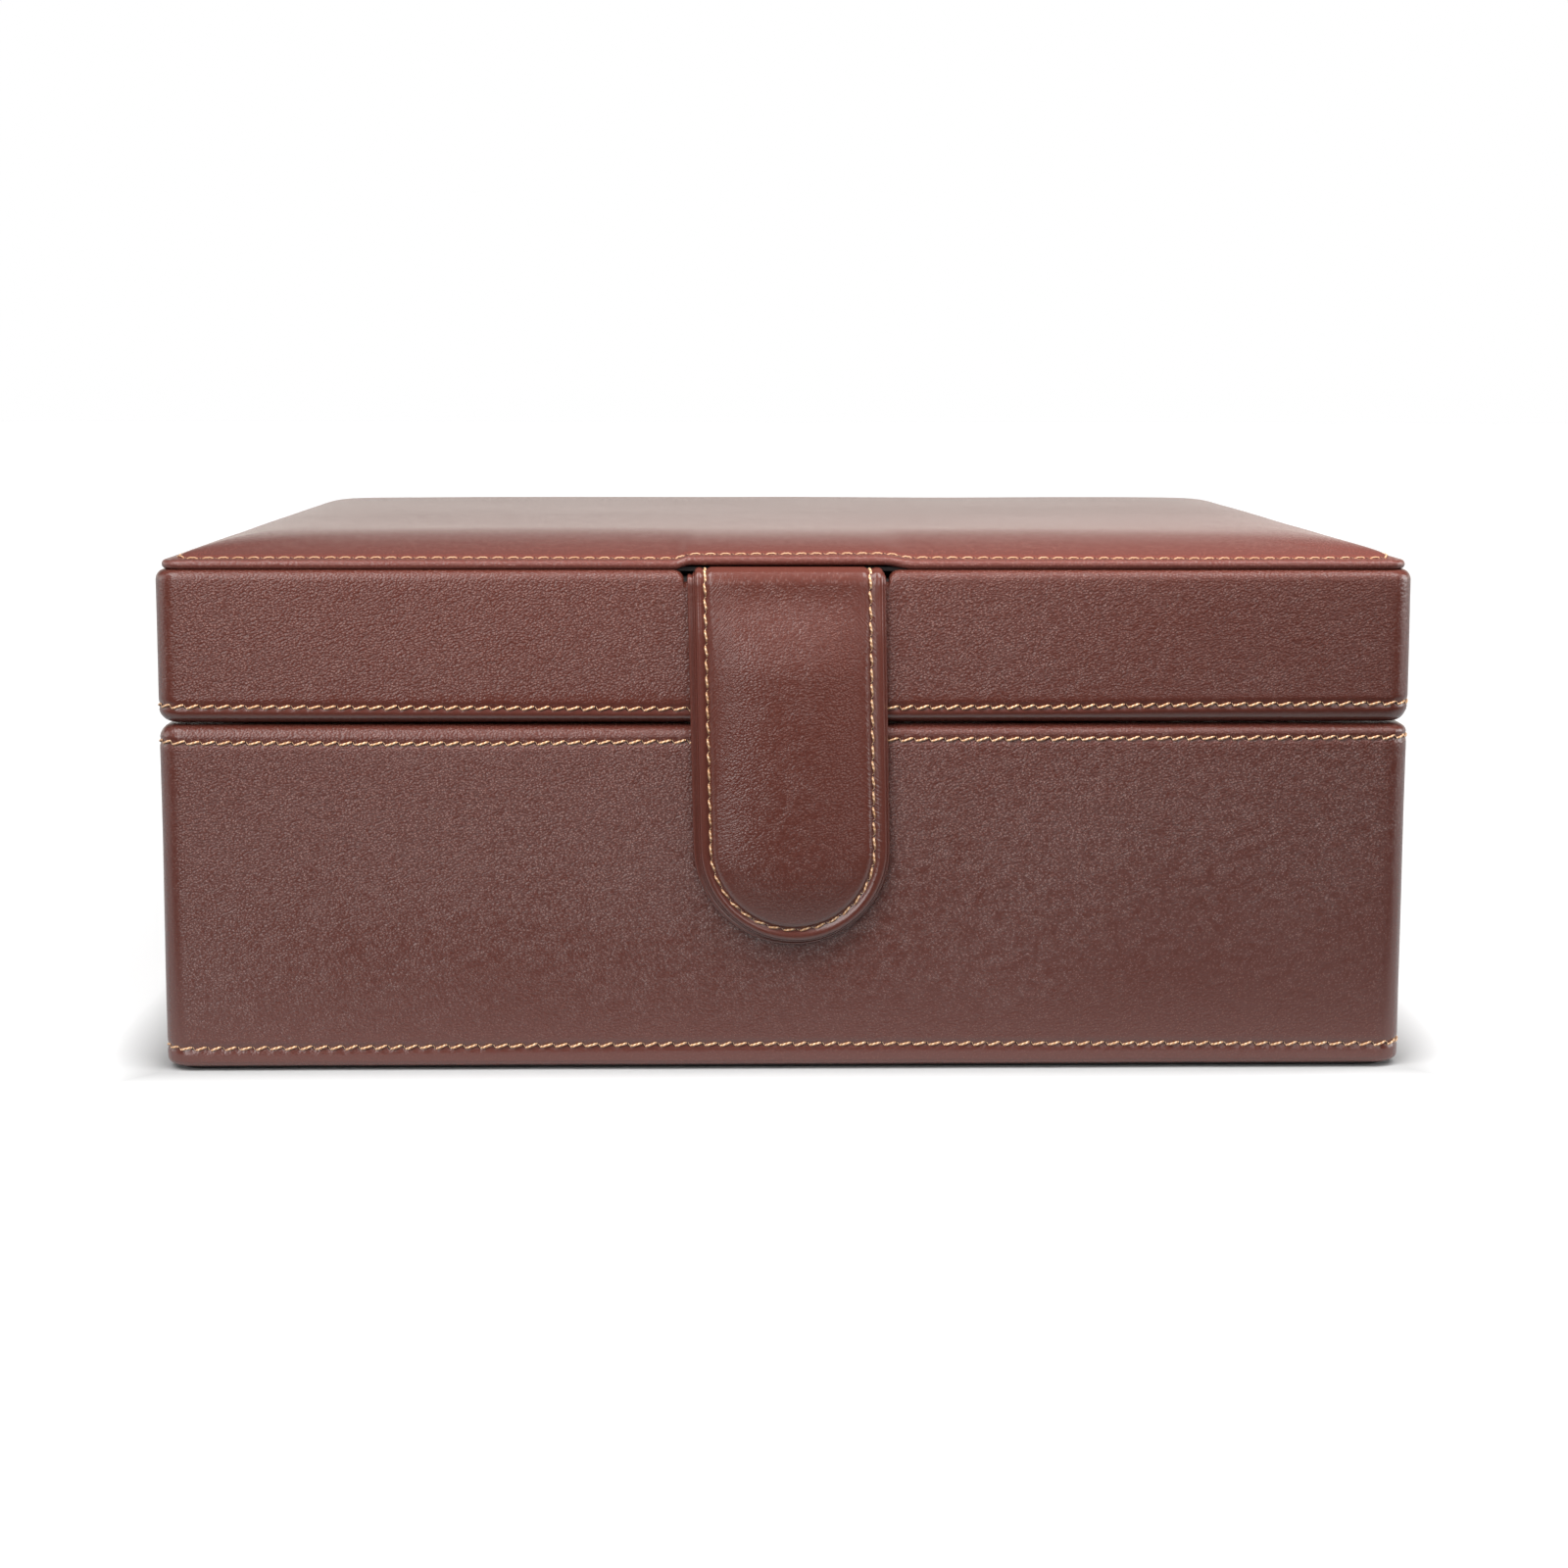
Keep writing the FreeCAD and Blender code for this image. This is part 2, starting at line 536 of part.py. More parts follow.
ROLL_PITCH = f"({INNER_DEPTH} / Dims.ring_roll_count)"
ROLL_WIDTH = f"({ROLL_PITCH} - Dims.soft_gap)"
ROLL_LENGTH = "(Dims.ring_bay_width - 2 * Dims.soft_gap)"
roll_low = f"({PAD_TOP} + Dims.ring_block_height)"
for index in range(int(number("Dims.ring_roll_count"))):
    name = f"ring_roll_{index + 1}"
    roll_y = f"(-{INNER_DEPTH} / 2 + {index + 0.5} * {ROLL_PITCH})"
    start = (f"{BAY_X} + Dims.soft_gap", roll_y, roll_low)
    roll = bar(name, ROLL_WIDTH, "Dims.ring_roll_height", ROLL_LENGTH, start, "X")
    ends = (0.0, number(ROLL_LENGTH))

    def on_a_rounded_end(box):
        flat_end = any(abs(box.XMin - x) + abs(box.XMax - x) < TOLERANCE for x in ends)
        return flat_end and box.ZMax > TOLERANCE

    fillet(roll, roll.Tip, "Dims.ring_roll_end", on_a_rounded_end)
    node(roll, name)


# Top panel: foam on a card, under a crowned leather cover with a flat stitched border

def crown(body, base_z):
    """Adds a loft that rises from the border and levels off into the flat of the crown."""
    sections = []
    for step in range(CROWN_STEPS + 1):
        share = step / CROWN_STEPS
        inset = f"(Dims.panel_inset + Dims.panel_flange + {share} * Dims.crown_run)"
        rise = f"{base_z} + {1 - (1 - share) ** 2} * Dims.crown_rise"
        radius = f"Dims.panel_corner + {share} * Dims.crown_corner"
        sections.append(rounded_outline(
            body,
            f"{body.Name}_section{step}",
            f"Dims.case_width - 2 * {inset}",
            f"Dims.case_depth - 2 * {inset}",
            radius,
            rise,
        ))
    loft = body.newObject("PartDesign::AdditiveLoft", f"{body.Name}_crown")
    loft.Profile = sections[0]
    loft.Sections = sections[1:]
    doc.recompute()


panel_low = f"({LID_TOP} + Dims.panel_backing)"
panel_high = f"({panel_low} + Dims.leather)"
backing_inset = "(Dims.panel_inset + Dims.leather)"
backing, _ = slab(
    "top_panel_backing",
    f"Dims.case_width - 2 * {backing_inset}",
    f"Dims.case_depth - 2 * {backing_inset}",
    "Dims.panel_corner - Dims.leather",
    LID_TOP,
    "Dims.panel_backing",
)
node(backing, "top_panel_backing")

foam = doc.addObject("PartDesign::Body", "top_panel_foam")
crown(foam, panel_low)
node(foam, "top_panel_foam")

panel_blank, panel_pad = slab(
    "top_panel_blank",
    "Dims.case_width - 2 * Dims.panel_inset",
    "Dims.case_depth - 2 * Dims.panel_inset",
    "Dims.panel_corner",
    LID_TOP,
    f"{panel_high} - {LID_TOP}",
)
fillet(panel_blank, panel_pad, "Dims.panel_bullnose", level_with(number(LID_TOP), number(panel_high)))
crown(panel_blank, panel_high)
node(cut("top_panel_leather", panel_blank, [foam, backing]), "top_panel_leather")


# Closing tab: a padded leather strap that bends over the lid's front edge. Its tongue is fixed
# under the top panel, and the hanging part swings about the bend.

tongue = block(
    "tab_tongue",
    ("Dims.tab_width", "Dims.tongue_length + Dims.tab_clearance", "Dims.tongue"),
    ("Dims.tab_offset - Dims.tab_width / 2", f"-{HALF_DEPTH} - Dims.tab_clearance",
     f"{LID_TOP} - Dims.tongue"),
)
node(tongue, "tab_tongue")


def tab_layer(name, border, back, thickness, top):
    """Layer of the tab: its outline inside a border, from a distance in front of the tab's back."""
    body = doc.addObject("PartDesign::Body", name)
    offset = f"{HALF_DEPTH} + Dims.tab_clearance + {back}"
    width = f"(Dims.tab_width - 2 * {border})"
    outline = arch_outline(body, f"{name}_outline", "XZ_Plane", offset, width, top, TAB_ROUND_Z)
    layer = pad(body, outline, thickness)
    place(body, "Dims.tab_offset", "0", "0")
    doc.recompute()
    return body, layer


bend_low = f"({TAB_PIVOT_Z} - Dims.tab_thickness / 2)"
tab_backing, _ = tab_layer("tab_backing_leather", "0", "0", "Dims.leather", bend_low)
node(tab_backing, "tab_backing_leather")

face_thickness = "(Dims.tab_thickness - Dims.leather)"
face, face_pad = tab_layer("tab_face", "0", "Dims.leather", face_thickness, TAB_PIVOT_Z)
face_front = number(f"-{HALF_DEPTH} - Dims.tab_clearance - Dims.tab_thickness")
face_top = number(TAB_PIVOT_Z)


def on_the_front_outline(box):
    in_front = abs(box.YMin - face_front) + abs(box.YMax - face_front) < TOLERANCE
    return in_front and box.ZMin < face_top - TOLERANCE


fillet(face, face_pad, "Dims.tab_edge", on_the_front_outline)
bend_start = ("Dims.tab_offset - Dims.tab_width / 2", TAB_PIVOT_Y, TAB_PIVOT_Z)
bend = rod("tab_bend", "Dims.tab_thickness / 2", "Dims.tab_width", bend_start, "X")
core_room, _ = tab_layer(
    "tab_core_room", "Dims.tab_border", "Dims.leather", "Dims.tab_thickness - 2 * Dims.leather", bend_low
)
node(cut("tab_face_leather", fuse("tab_face_blank", [face, bend]), [core_room]), "tab_face_leather")

magnet_y = f"-{HALF_DEPTH} - Dims.tab_clearance - Dims.leather"
magnet_start = ("Dims.tab_offset", f"{magnet_y} - Dims.magnet_thickness", TAB_ROUND_Z)
magnet = rod("tab_magnet", "Dims.magnet_radius", "Dims.magnet_thickness", magnet_start, "Y")
node(magnet, "tab_magnet")
magnet_pocket = rod(
    "tab_magnet_pocket",
    "Dims.magnet_radius + Dims.fit_clearance",
    "Dims.magnet_thickness + Dims.fit_clearance",
    ("Dims.tab_offset", f"{magnet_y} - Dims.magnet_thickness - Dims.fit_clearance", TAB_ROUND_Z),
    "Y",
)
node(cut("tab_core", core_room, [magnet_pocket]), "tab_core")

# Every object and sub-part has to be sound before anything is written
doc.removeObject(working.Name)
doc.recompute()
failed = [item.Name for item in doc.Objects if {"Invalid", "Error"} & set(item.State)]
for name, item in nodes.items():
    shape = item.Shape
    if shape.isNull() or not shape.isValid() or not shape.Solids or shape.Volume <= 0:
        failed.append(name)
if failed:
    raise RuntimeError(f"these did not build: {failed}")
os.makedirs("parts", exist_ok=True)
for name, item in nodes.items():
    item.Shape.exportStep(os.path.join("parts", f"{name}.step"))
print(f"{len(nodes)} sub-parts written")
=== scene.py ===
import math

import bpy
import numpy as np
from mathutils import Matrix, Vector, noise


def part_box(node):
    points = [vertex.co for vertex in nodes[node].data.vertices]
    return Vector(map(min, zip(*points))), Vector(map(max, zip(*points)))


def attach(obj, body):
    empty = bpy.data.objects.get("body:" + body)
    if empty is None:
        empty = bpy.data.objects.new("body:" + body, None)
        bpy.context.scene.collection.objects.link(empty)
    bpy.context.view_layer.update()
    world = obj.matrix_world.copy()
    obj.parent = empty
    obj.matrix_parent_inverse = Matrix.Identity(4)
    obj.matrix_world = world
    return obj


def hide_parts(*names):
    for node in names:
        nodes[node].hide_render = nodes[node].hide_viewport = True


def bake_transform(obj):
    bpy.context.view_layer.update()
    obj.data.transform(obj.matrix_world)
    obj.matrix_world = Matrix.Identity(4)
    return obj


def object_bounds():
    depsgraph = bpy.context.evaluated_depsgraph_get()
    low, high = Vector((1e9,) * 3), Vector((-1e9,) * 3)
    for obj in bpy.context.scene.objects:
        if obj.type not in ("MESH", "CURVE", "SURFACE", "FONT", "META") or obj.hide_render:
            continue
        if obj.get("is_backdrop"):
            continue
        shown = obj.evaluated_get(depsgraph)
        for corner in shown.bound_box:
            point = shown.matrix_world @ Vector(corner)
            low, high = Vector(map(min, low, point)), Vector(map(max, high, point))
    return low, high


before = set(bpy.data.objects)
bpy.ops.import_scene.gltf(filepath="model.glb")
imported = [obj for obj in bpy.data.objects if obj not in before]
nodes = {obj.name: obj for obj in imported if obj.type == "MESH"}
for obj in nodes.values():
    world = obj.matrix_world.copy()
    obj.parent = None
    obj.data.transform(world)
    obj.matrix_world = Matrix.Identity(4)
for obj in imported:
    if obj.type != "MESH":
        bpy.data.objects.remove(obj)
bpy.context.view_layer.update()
MM = 0.001


# Carcass boards
# The walls, floor and lid top are cut from dense greyboard and glued at the corners. Leather and
# suede cover them all round, so they keep the plain fibrous finish of the sheet.

def srgb(code):
    """The linear colour of an sRGB code such as 8A6B52."""
    channels = [int(code[at:at + 2], 16) / 255 for at in (0, 2, 4)]
    linear = [c / 12.92 if c <= 0.04045 else ((c + 0.055) / 1.055) ** 2.4 for c in channels]
    return (*linear, 1.0)


def add(tree, kind, inputs=None, **properties):
    """Adds a node. An input takes a socket, a node, which is linked by its first output, or a constant."""
    item = tree.nodes.new(kind)
    for name, value in properties.items():
        setattr(item, name, value)
    for name, value in (inputs or {}).items():
        if isinstance(value, bpy.types.Node):
            value = value.outputs[0]
        if isinstance(value, bpy.types.NodeSocket):
            tree.links.new(value, item.inputs[name])
        else:
            item.inputs[name].default_value = value
    return item


def new_material(name):
    """An empty material and its node tree."""
    material = bpy.data.materials.new(name)
    material.use_nodes = True
    material.node_tree.nodes.clear()
    return material, material.node_tree


def coat(material, *names):
    """Gives CAD nodes a material."""
    for name in names:
        slots = nodes[name].data.materials
        slots.clear()
        slots.append(material)


BOARD_COLOUR = "A3968A"
BOARD_DARK = "7A6F64"
BOARD_FLECK = 1.5 * MM

# Pressed paper fibre: dull, with a faint fleck.
greyboard, tree = new_material("greyboard")
place = add(tree, "ShaderNodeTexCoord")
fleck_and_highlight = add(tree, "ShaderNodeTexNoise", {"Vector": place.outputs["Object"], "Scale": 1 / BOARD_FLECK})
tone = add(tree, "ShaderNodeMix", {"Factor": fleck_and_highlight.outputs["Fac"], "A": srgb(BOARD_DARK),
           "B": srgb(BOARD_COLOUR)}, data_type="RGBA")
skin = add(tree, "ShaderNodeBsdfPrincipled", {"Base Color": tone.outputs["Result"], "Roughness": 0.9})
add(tree, "ShaderNodeOutputMaterial", {"Surface": skin})
coat(greyboard, "base_front_board", "base_back_board", "base_left_board", "base_right_board",
     "base_floor_board")
coat(greyboard, "lid_back_board", "lid_left_board", "lid_right_board")


# Base leather wrap
# One band of pebbled calf runs round the base and is joined at the middle of the back. It is turned
# over the boards at the rim and at the foot, and two stitch rows draw it down into shallow grooves.

HALF_WIDTH = 132.5 * MM
HALF_DEPTH = 105.0 * MM
CORNER_RADIUS = 6.0 * MM
LEATHER = 1.2 * MM
WALL = 7.2 * MM
EDGE_ROLL = 3.0 * MM
BASE_FOOT = 0.9 * MM
FOOT_ROLL = 1.5 * MM
COVER_EDGE = 2.15 * MM
COVER_TOP = 2.0 * MM
BASE_RIM = 74.25 * MM
# Each stitch row: its height, and how far the hand-sewn line strays from it along the front, by x.
FOOT_STRAY = [(-124, -0.4), (-83, -0.2), (-25, 0.25), (26, 0.25), (82, 0.1), (124, -0.1)]
RIM_STRAY = [(-124, -0.35), (-83, -0.6), (-60, -0.55), (-25, -0.15), (26, 0.2), (82, 0.45), (124, 0.6)]
BASE_ROWS = [(5.3 * MM, FOOT_STRAY), (70.9 * MM, RIM_STRAY)]
STITCH_PITCH = 3.2 * MM
GROOVE_DEPTH = 0.32 * MM
GROOVE_SPREAD = 0.8 * MM
PUCKER = 0.07 * MM
PUCKER_REACH = 1.2 * MM
STRAY_REACH = 2.5 * MM
# How the section of a band is divided: along its flat part, across each stitch row, and round each roll.
SECTION_STEP = 3.5 * MM
SECTION_LEAST = 0.1 * MM
ROW_OFFSETS = (-2, -1.5, -1.1, -0.8, -0.5, -0.25, 0, 0.25, 0.5, 0.8, 1.1, 1.5, 2)
ROLL_POINTS = 9
INNER_POINTS = 5
WAVE_LENGTH = 34 * MM
WAVE_DEPTH = 0.14 * MM
STATION_STEP = 0.8 * MM
CORNER_STEPS = 12
FRONT_LEG = 2
LEATHER_COLOUR = "572C24"
# Painted shade: the dark that the calf's colour is mixed towards in its pits and on smooth leather.
LEATHER_PAINTED_SHADE = "3A1A14"
# Painted highlight: the pale of the flecks on the pebble tops.
FLECK_HIGHLIGHT_COLOUR = "A88378"
BAND_GLOSS = (0.15, 0.28)
PEBBLE_LONG = 0.60 * MM
PEBBLE_SHORT = 0.43 * MM
PEBBLE_TILT = math.radians(22)
PEBBLE_DEPTH = 0.20 * MM
WRINKLE_DEPTH = 0.21 * MM
CORNER_SMOOTH = 0.75
# How much smooth leather is painted darker as shade. It makes the base darker towards its foot, where its
# grain is weakest.
SMOOTH_PAINTED_SHADE = 0.3
FLECK_HIGHLIGHT_SHARE = 0.37
UNDER_SHARE = 0.4
PEBBLE_SOFT = 0.12
PORES_PER_PEBBLE = 2.6
PORE_SHARE = 0.4
FOLD_PEBBLES = 5
FOLD_SHARE = 0.55
# A noise keeps mostly to its middle range. The grain is weaker or stronger by patches and by folds.
NOISE_RANGE = (0.35, 0.65)
PATCH_GRAIN = (0.75, 1.0)
FOLD_GRAIN = (0.72, 1.2)
# Distances from the middle of a pebble: where the pits are painted darker as shade and how much, and
# where the pale flecks of painted highlight end and are full.
PIT_RANGE = (0.25, 0.75)
PIT_SHADE = 0.4
FLECK_HIGHLIGHT_RANGE = (0.34, 0.1)
DRIFT_SIZE = 7 * MM
DRIFT = 0.6 * MM
PATCH_SIZE = 42 * MM
HINGE_CENTRE = 80 * MM
HINGE_REACH = 18.3 * MM
HINGE_BACK = 97.6 * MM
HINGE_AXIS = (103.2 * MM, 74.45 * MM)
BARREL_ROOM = 2.2 * MM
LEAF_SEAT = 1.4 * MM


def ring_stations(half_x, half_y, radius, step, front_extra=()):
    """The stations of a rounded rectangle, from the middle of its back round by the left and the front:
    the corner centres or edge points they turn about, and the ways they move out with and without a radius.
    The front may have extra stations at given x."""
    inner = np.array([half_x - radius, half_y - radius])
    stops = [inner * way for way in ((0, 1), (-1, 1), (-1, -1), (1, -1), (1, 1), (0, 1))]
    leans = [np.array(way) for way in ((0, 1), (-1, 0), (0, -1), (1, 0), (0, 1))]
    core, lean, square = [], [], []
    for leg, out in enumerate(leans):
        steps = round(np.linalg.norm(stops[leg + 1] - stops[leg]) / step)
        shares = np.arange(steps) / steps
        if leg == FRONT_LEG:
            shares = np.union1d(shares, (np.array(front_extra) + inner[0]) / (2 * inner[0]))
        for share in shares:
            core.append(stops[leg] + (stops[leg + 1] - stops[leg]) * share)
            lean.append(out)
            square.append(out)
        for at in range(CORNER_STEPS if leg < 4 else 0):
            turn = math.pi / 2 * at / CORNER_STEPS
            core.append(stops[leg + 1])
            lean.append(out * math.cos(turn) + leans[leg + 1] * math.sin(turn))
            square.append(out + leans[leg + 1])
    return np.array(core), np.array(lean), np.array(square)


def ring(stations, half_x, half_y, radius, inset):
    """The points of that rounded rectangle moved in by inset, square at the corners past the radius."""
    core, lean, square = stations
    points = core + (lean if inset <= radius else square) * (radius - inset)
    limit = np.array([half_x - inset, half_y - inset])
    return np.clip(points, -limit, limit)


def lengths(points, closed=True):
    """How far along its line each point lies, with the full length last where the line is closed."""
    ends = np.vstack([points, points[:1]]) if closed else points
    return np.concatenate([[0], np.cumsum(np.linalg.norm(np.diff(ends, axis=0), axis=1))])


def quads(grid):
    """The four corners of each cell of a grid, as they go round a face."""
    corners = [grid[:-1, :-1], grid[:-1, 1:], grid[1:, 1:], grid[1:, :-1]]
    return np.stack(corners, axis=2).reshape(-1, 4, *grid.shape[2:])


def piece(name, points, faces, material):
    """A smooth-shaded mesh object."""
    mesh = bpy.data.meshes.new(name)
    mesh.from_pydata(np.asarray(points).tolist(), [], [[int(at) for at in face] for face in faces])
    mesh.materials.append(material)
    mesh.shade_smooth()
    obj = bpy.data.objects.new(name, mesh)
    bpy.context.scene.collection.objects.link(obj)
    return obj


def mark(obj, name, values, kind="FLOAT"):
    """Stores a value, or a vector, on each point of a mesh for its material."""
    layer = obj.data.attributes.new(name, kind, "POINT")
    field = "vector" if kind == "FLOAT_VECTOR" else "value"
    layer.data.foreach_set(field, np.asarray(values, float).ravel())


def sweep(name, profile, stations, sizes, material):
    """A closed band: a closed profile of inset and height carried round a rounded rectangle."""
    count = len(stations[0])
    levels = [(ring(stations, *sizes, inset), np.full(count, height)) for inset, height in profile]
    points = np.array([np.column_stack(level) for level in levels])
    number = np.arange(points.shape[0] * points.shape[1]).reshape(points.shape[:2])
    number = np.hstack([number, number[:, :1]])
    faces = quads(np.vstack([number, number[:1]]))
    obj = piece(name, points.reshape(-1, 3), faces, material)
    along = lengths(ring(stations, *sizes, 0))
    across = lengths(np.array(profile))
    layer = obj.data.uv_layers.new(name="UVMap")
    layer.data.foreach_set("uv", quads(np.dstack(np.meshgrid(along, across))).ravel())
    return obj, points.shape[:2]


def ripple(point, size, depth):
    """A slow wave in the hide, the same at every run."""
    return depth * noise.noise(Vector(point) / size)


def soft_step(value, start, end):
    """0 before start, 1 after end and smooth between them."""
    share = np.clip((value - start) / (end - start), 0, 1)
    return share * share * (3 - 2 * share)


def stray(points, line):
    """How far a hand-sewn row strays up or down at each point: as drawn along the front, and easing off
    round the sides."""
    places, rises = np.array(line).T * MM
    ease = 1 - soft_step(points[:, 1], -HALF_DEPTH + CORNER_RADIUS, 0)
    return np.interp(points[:, 0], places, rises) * ease


def band_profile(foot, rim, rows, foot_roll, rim_roll, under):
    """The section of a leather band with a roll at each end and a groove at each stitch row. Under has the
    points where it is turned in below the boards."""
    turns = np.linspace(0, math.pi / 2, ROLL_POINTS)
    heights = list(np.arange(foot + foot_roll, rim - rim_roll, SECTION_STEP))
    for row, line in rows:
        heights += [row + offset * MM for offset in ROW_OFFSETS]
    heights = sorted(h for h in heights if foot + foot_roll <= h < rim - rim_roll)
    heights = [h for at, h in enumerate(heights) if at == 0 or h - heights[at - 1] > SECTION_LEAST]
    outside = list(under)
    outside += [(foot_roll * (1 - math.sin(t)), foot + foot_roll * (1 - math.cos(t))) for t in turns[:-1]]
    outside += [(0.0, h) for h in heights]
    outside += [(rim_roll * (1 - math.cos(t)), rim - rim_roll * (1 - math.sin(t))) for t in turns]
    outside += [(WALL, rim)]
    drawn = []
    for inset, height in outside:
        pull = sum(GROOVE_DEPTH * math.exp(-((height - row) / GROOVE_SPREAD) ** 2) for row, line in rows)
        drawn.append((inset + pull * (1 if inset < EDGE_ROLL else 0), height))
    return drawn + [(WALL, rim - LEATHER), (LEATHER, rim - LEATHER), (LEATHER, foot + LEATHER),
                    (WALL, foot + LEATHER)]


def settle_band(obj, shape, stations, rows, along, pressed):
    """Gives a band its slow waves, straying rows and the puckers between stitches, and marks where its
    grain is pressed flat: pressed has pairs of height and grain. The material paints the leather darker as
    shade where that grain is weak."""
    points = np.empty(len(obj.data.vertices) * 3)
    obj.data.vertices.foreach_get("co", points)
    points = points.reshape(*shape, 3)
    heights, grains = np.array(pressed).T
    lean = stations[1] / np.linalg.norm(stations[1], axis=1)[:, None]
    turned = 2 * np.abs(lean[:, 0] * lean[:, 1])
    mark(obj, "grain", np.interp(points[:, :, 2], heights, grains) * (1 - CORNER_SMOOTH * turned))
    phase = np.cos(2 * math.pi * along[:-1] / (along[-1] / stitch_count(along[-1])))
    for level in range(1, shape[0] - INNER_POINTS):
        height = points[level, 0, 2]
        near = sum(math.exp(-((height - row) / PUCKER_REACH) ** 2) for row, line in rows)
        push = PUCKER * near * phase
        waves = np.array([ripple(p, WAVE_LENGTH, WAVE_DEPTH) for p in points[level]])
        push = push + waves - WAVE_DEPTH * 0.5
        for row, line in rows:
            share = math.exp(-((height - row) / STRAY_REACH) ** 4)
            points[level, :, 2] += stray(points[level], line) * share
        points[level, :, :2] += lean * push[:, None]
    obj.data.vertices.foreach_set("co", points.ravel())


def stitch_count(length):
    """Whole stitches that fit a closed row."""
    return round(length / STITCH_PITCH)


def clear_hinges(obj, above):
    """Seats the band under the hinge leaves and leaves their barrels room."""
    seat = HINGE_AXIS[1] - LEAF_SEAT if above else HINGE_AXIS[1] + LEAF_SEAT
    for vertex in obj.data.vertices:
        x, y, z = vertex.co
        if abs(abs(x) - HINGE_CENTRE) > HINGE_REACH or y < HINGE_BACK:
            continue
        z = min(z, seat) if above else max(z, seat)
        away = Vector((y - HINGE_AXIS[0], z - HINGE_AXIS[1]))
        if away.length < BARREL_ROOM:
            away *= BARREL_ROOM / away.length
            y, z = HINGE_AXIS[0] + away[0], HINGE_AXIS[1] + away[1]
        vertex.co = (x, y, z)


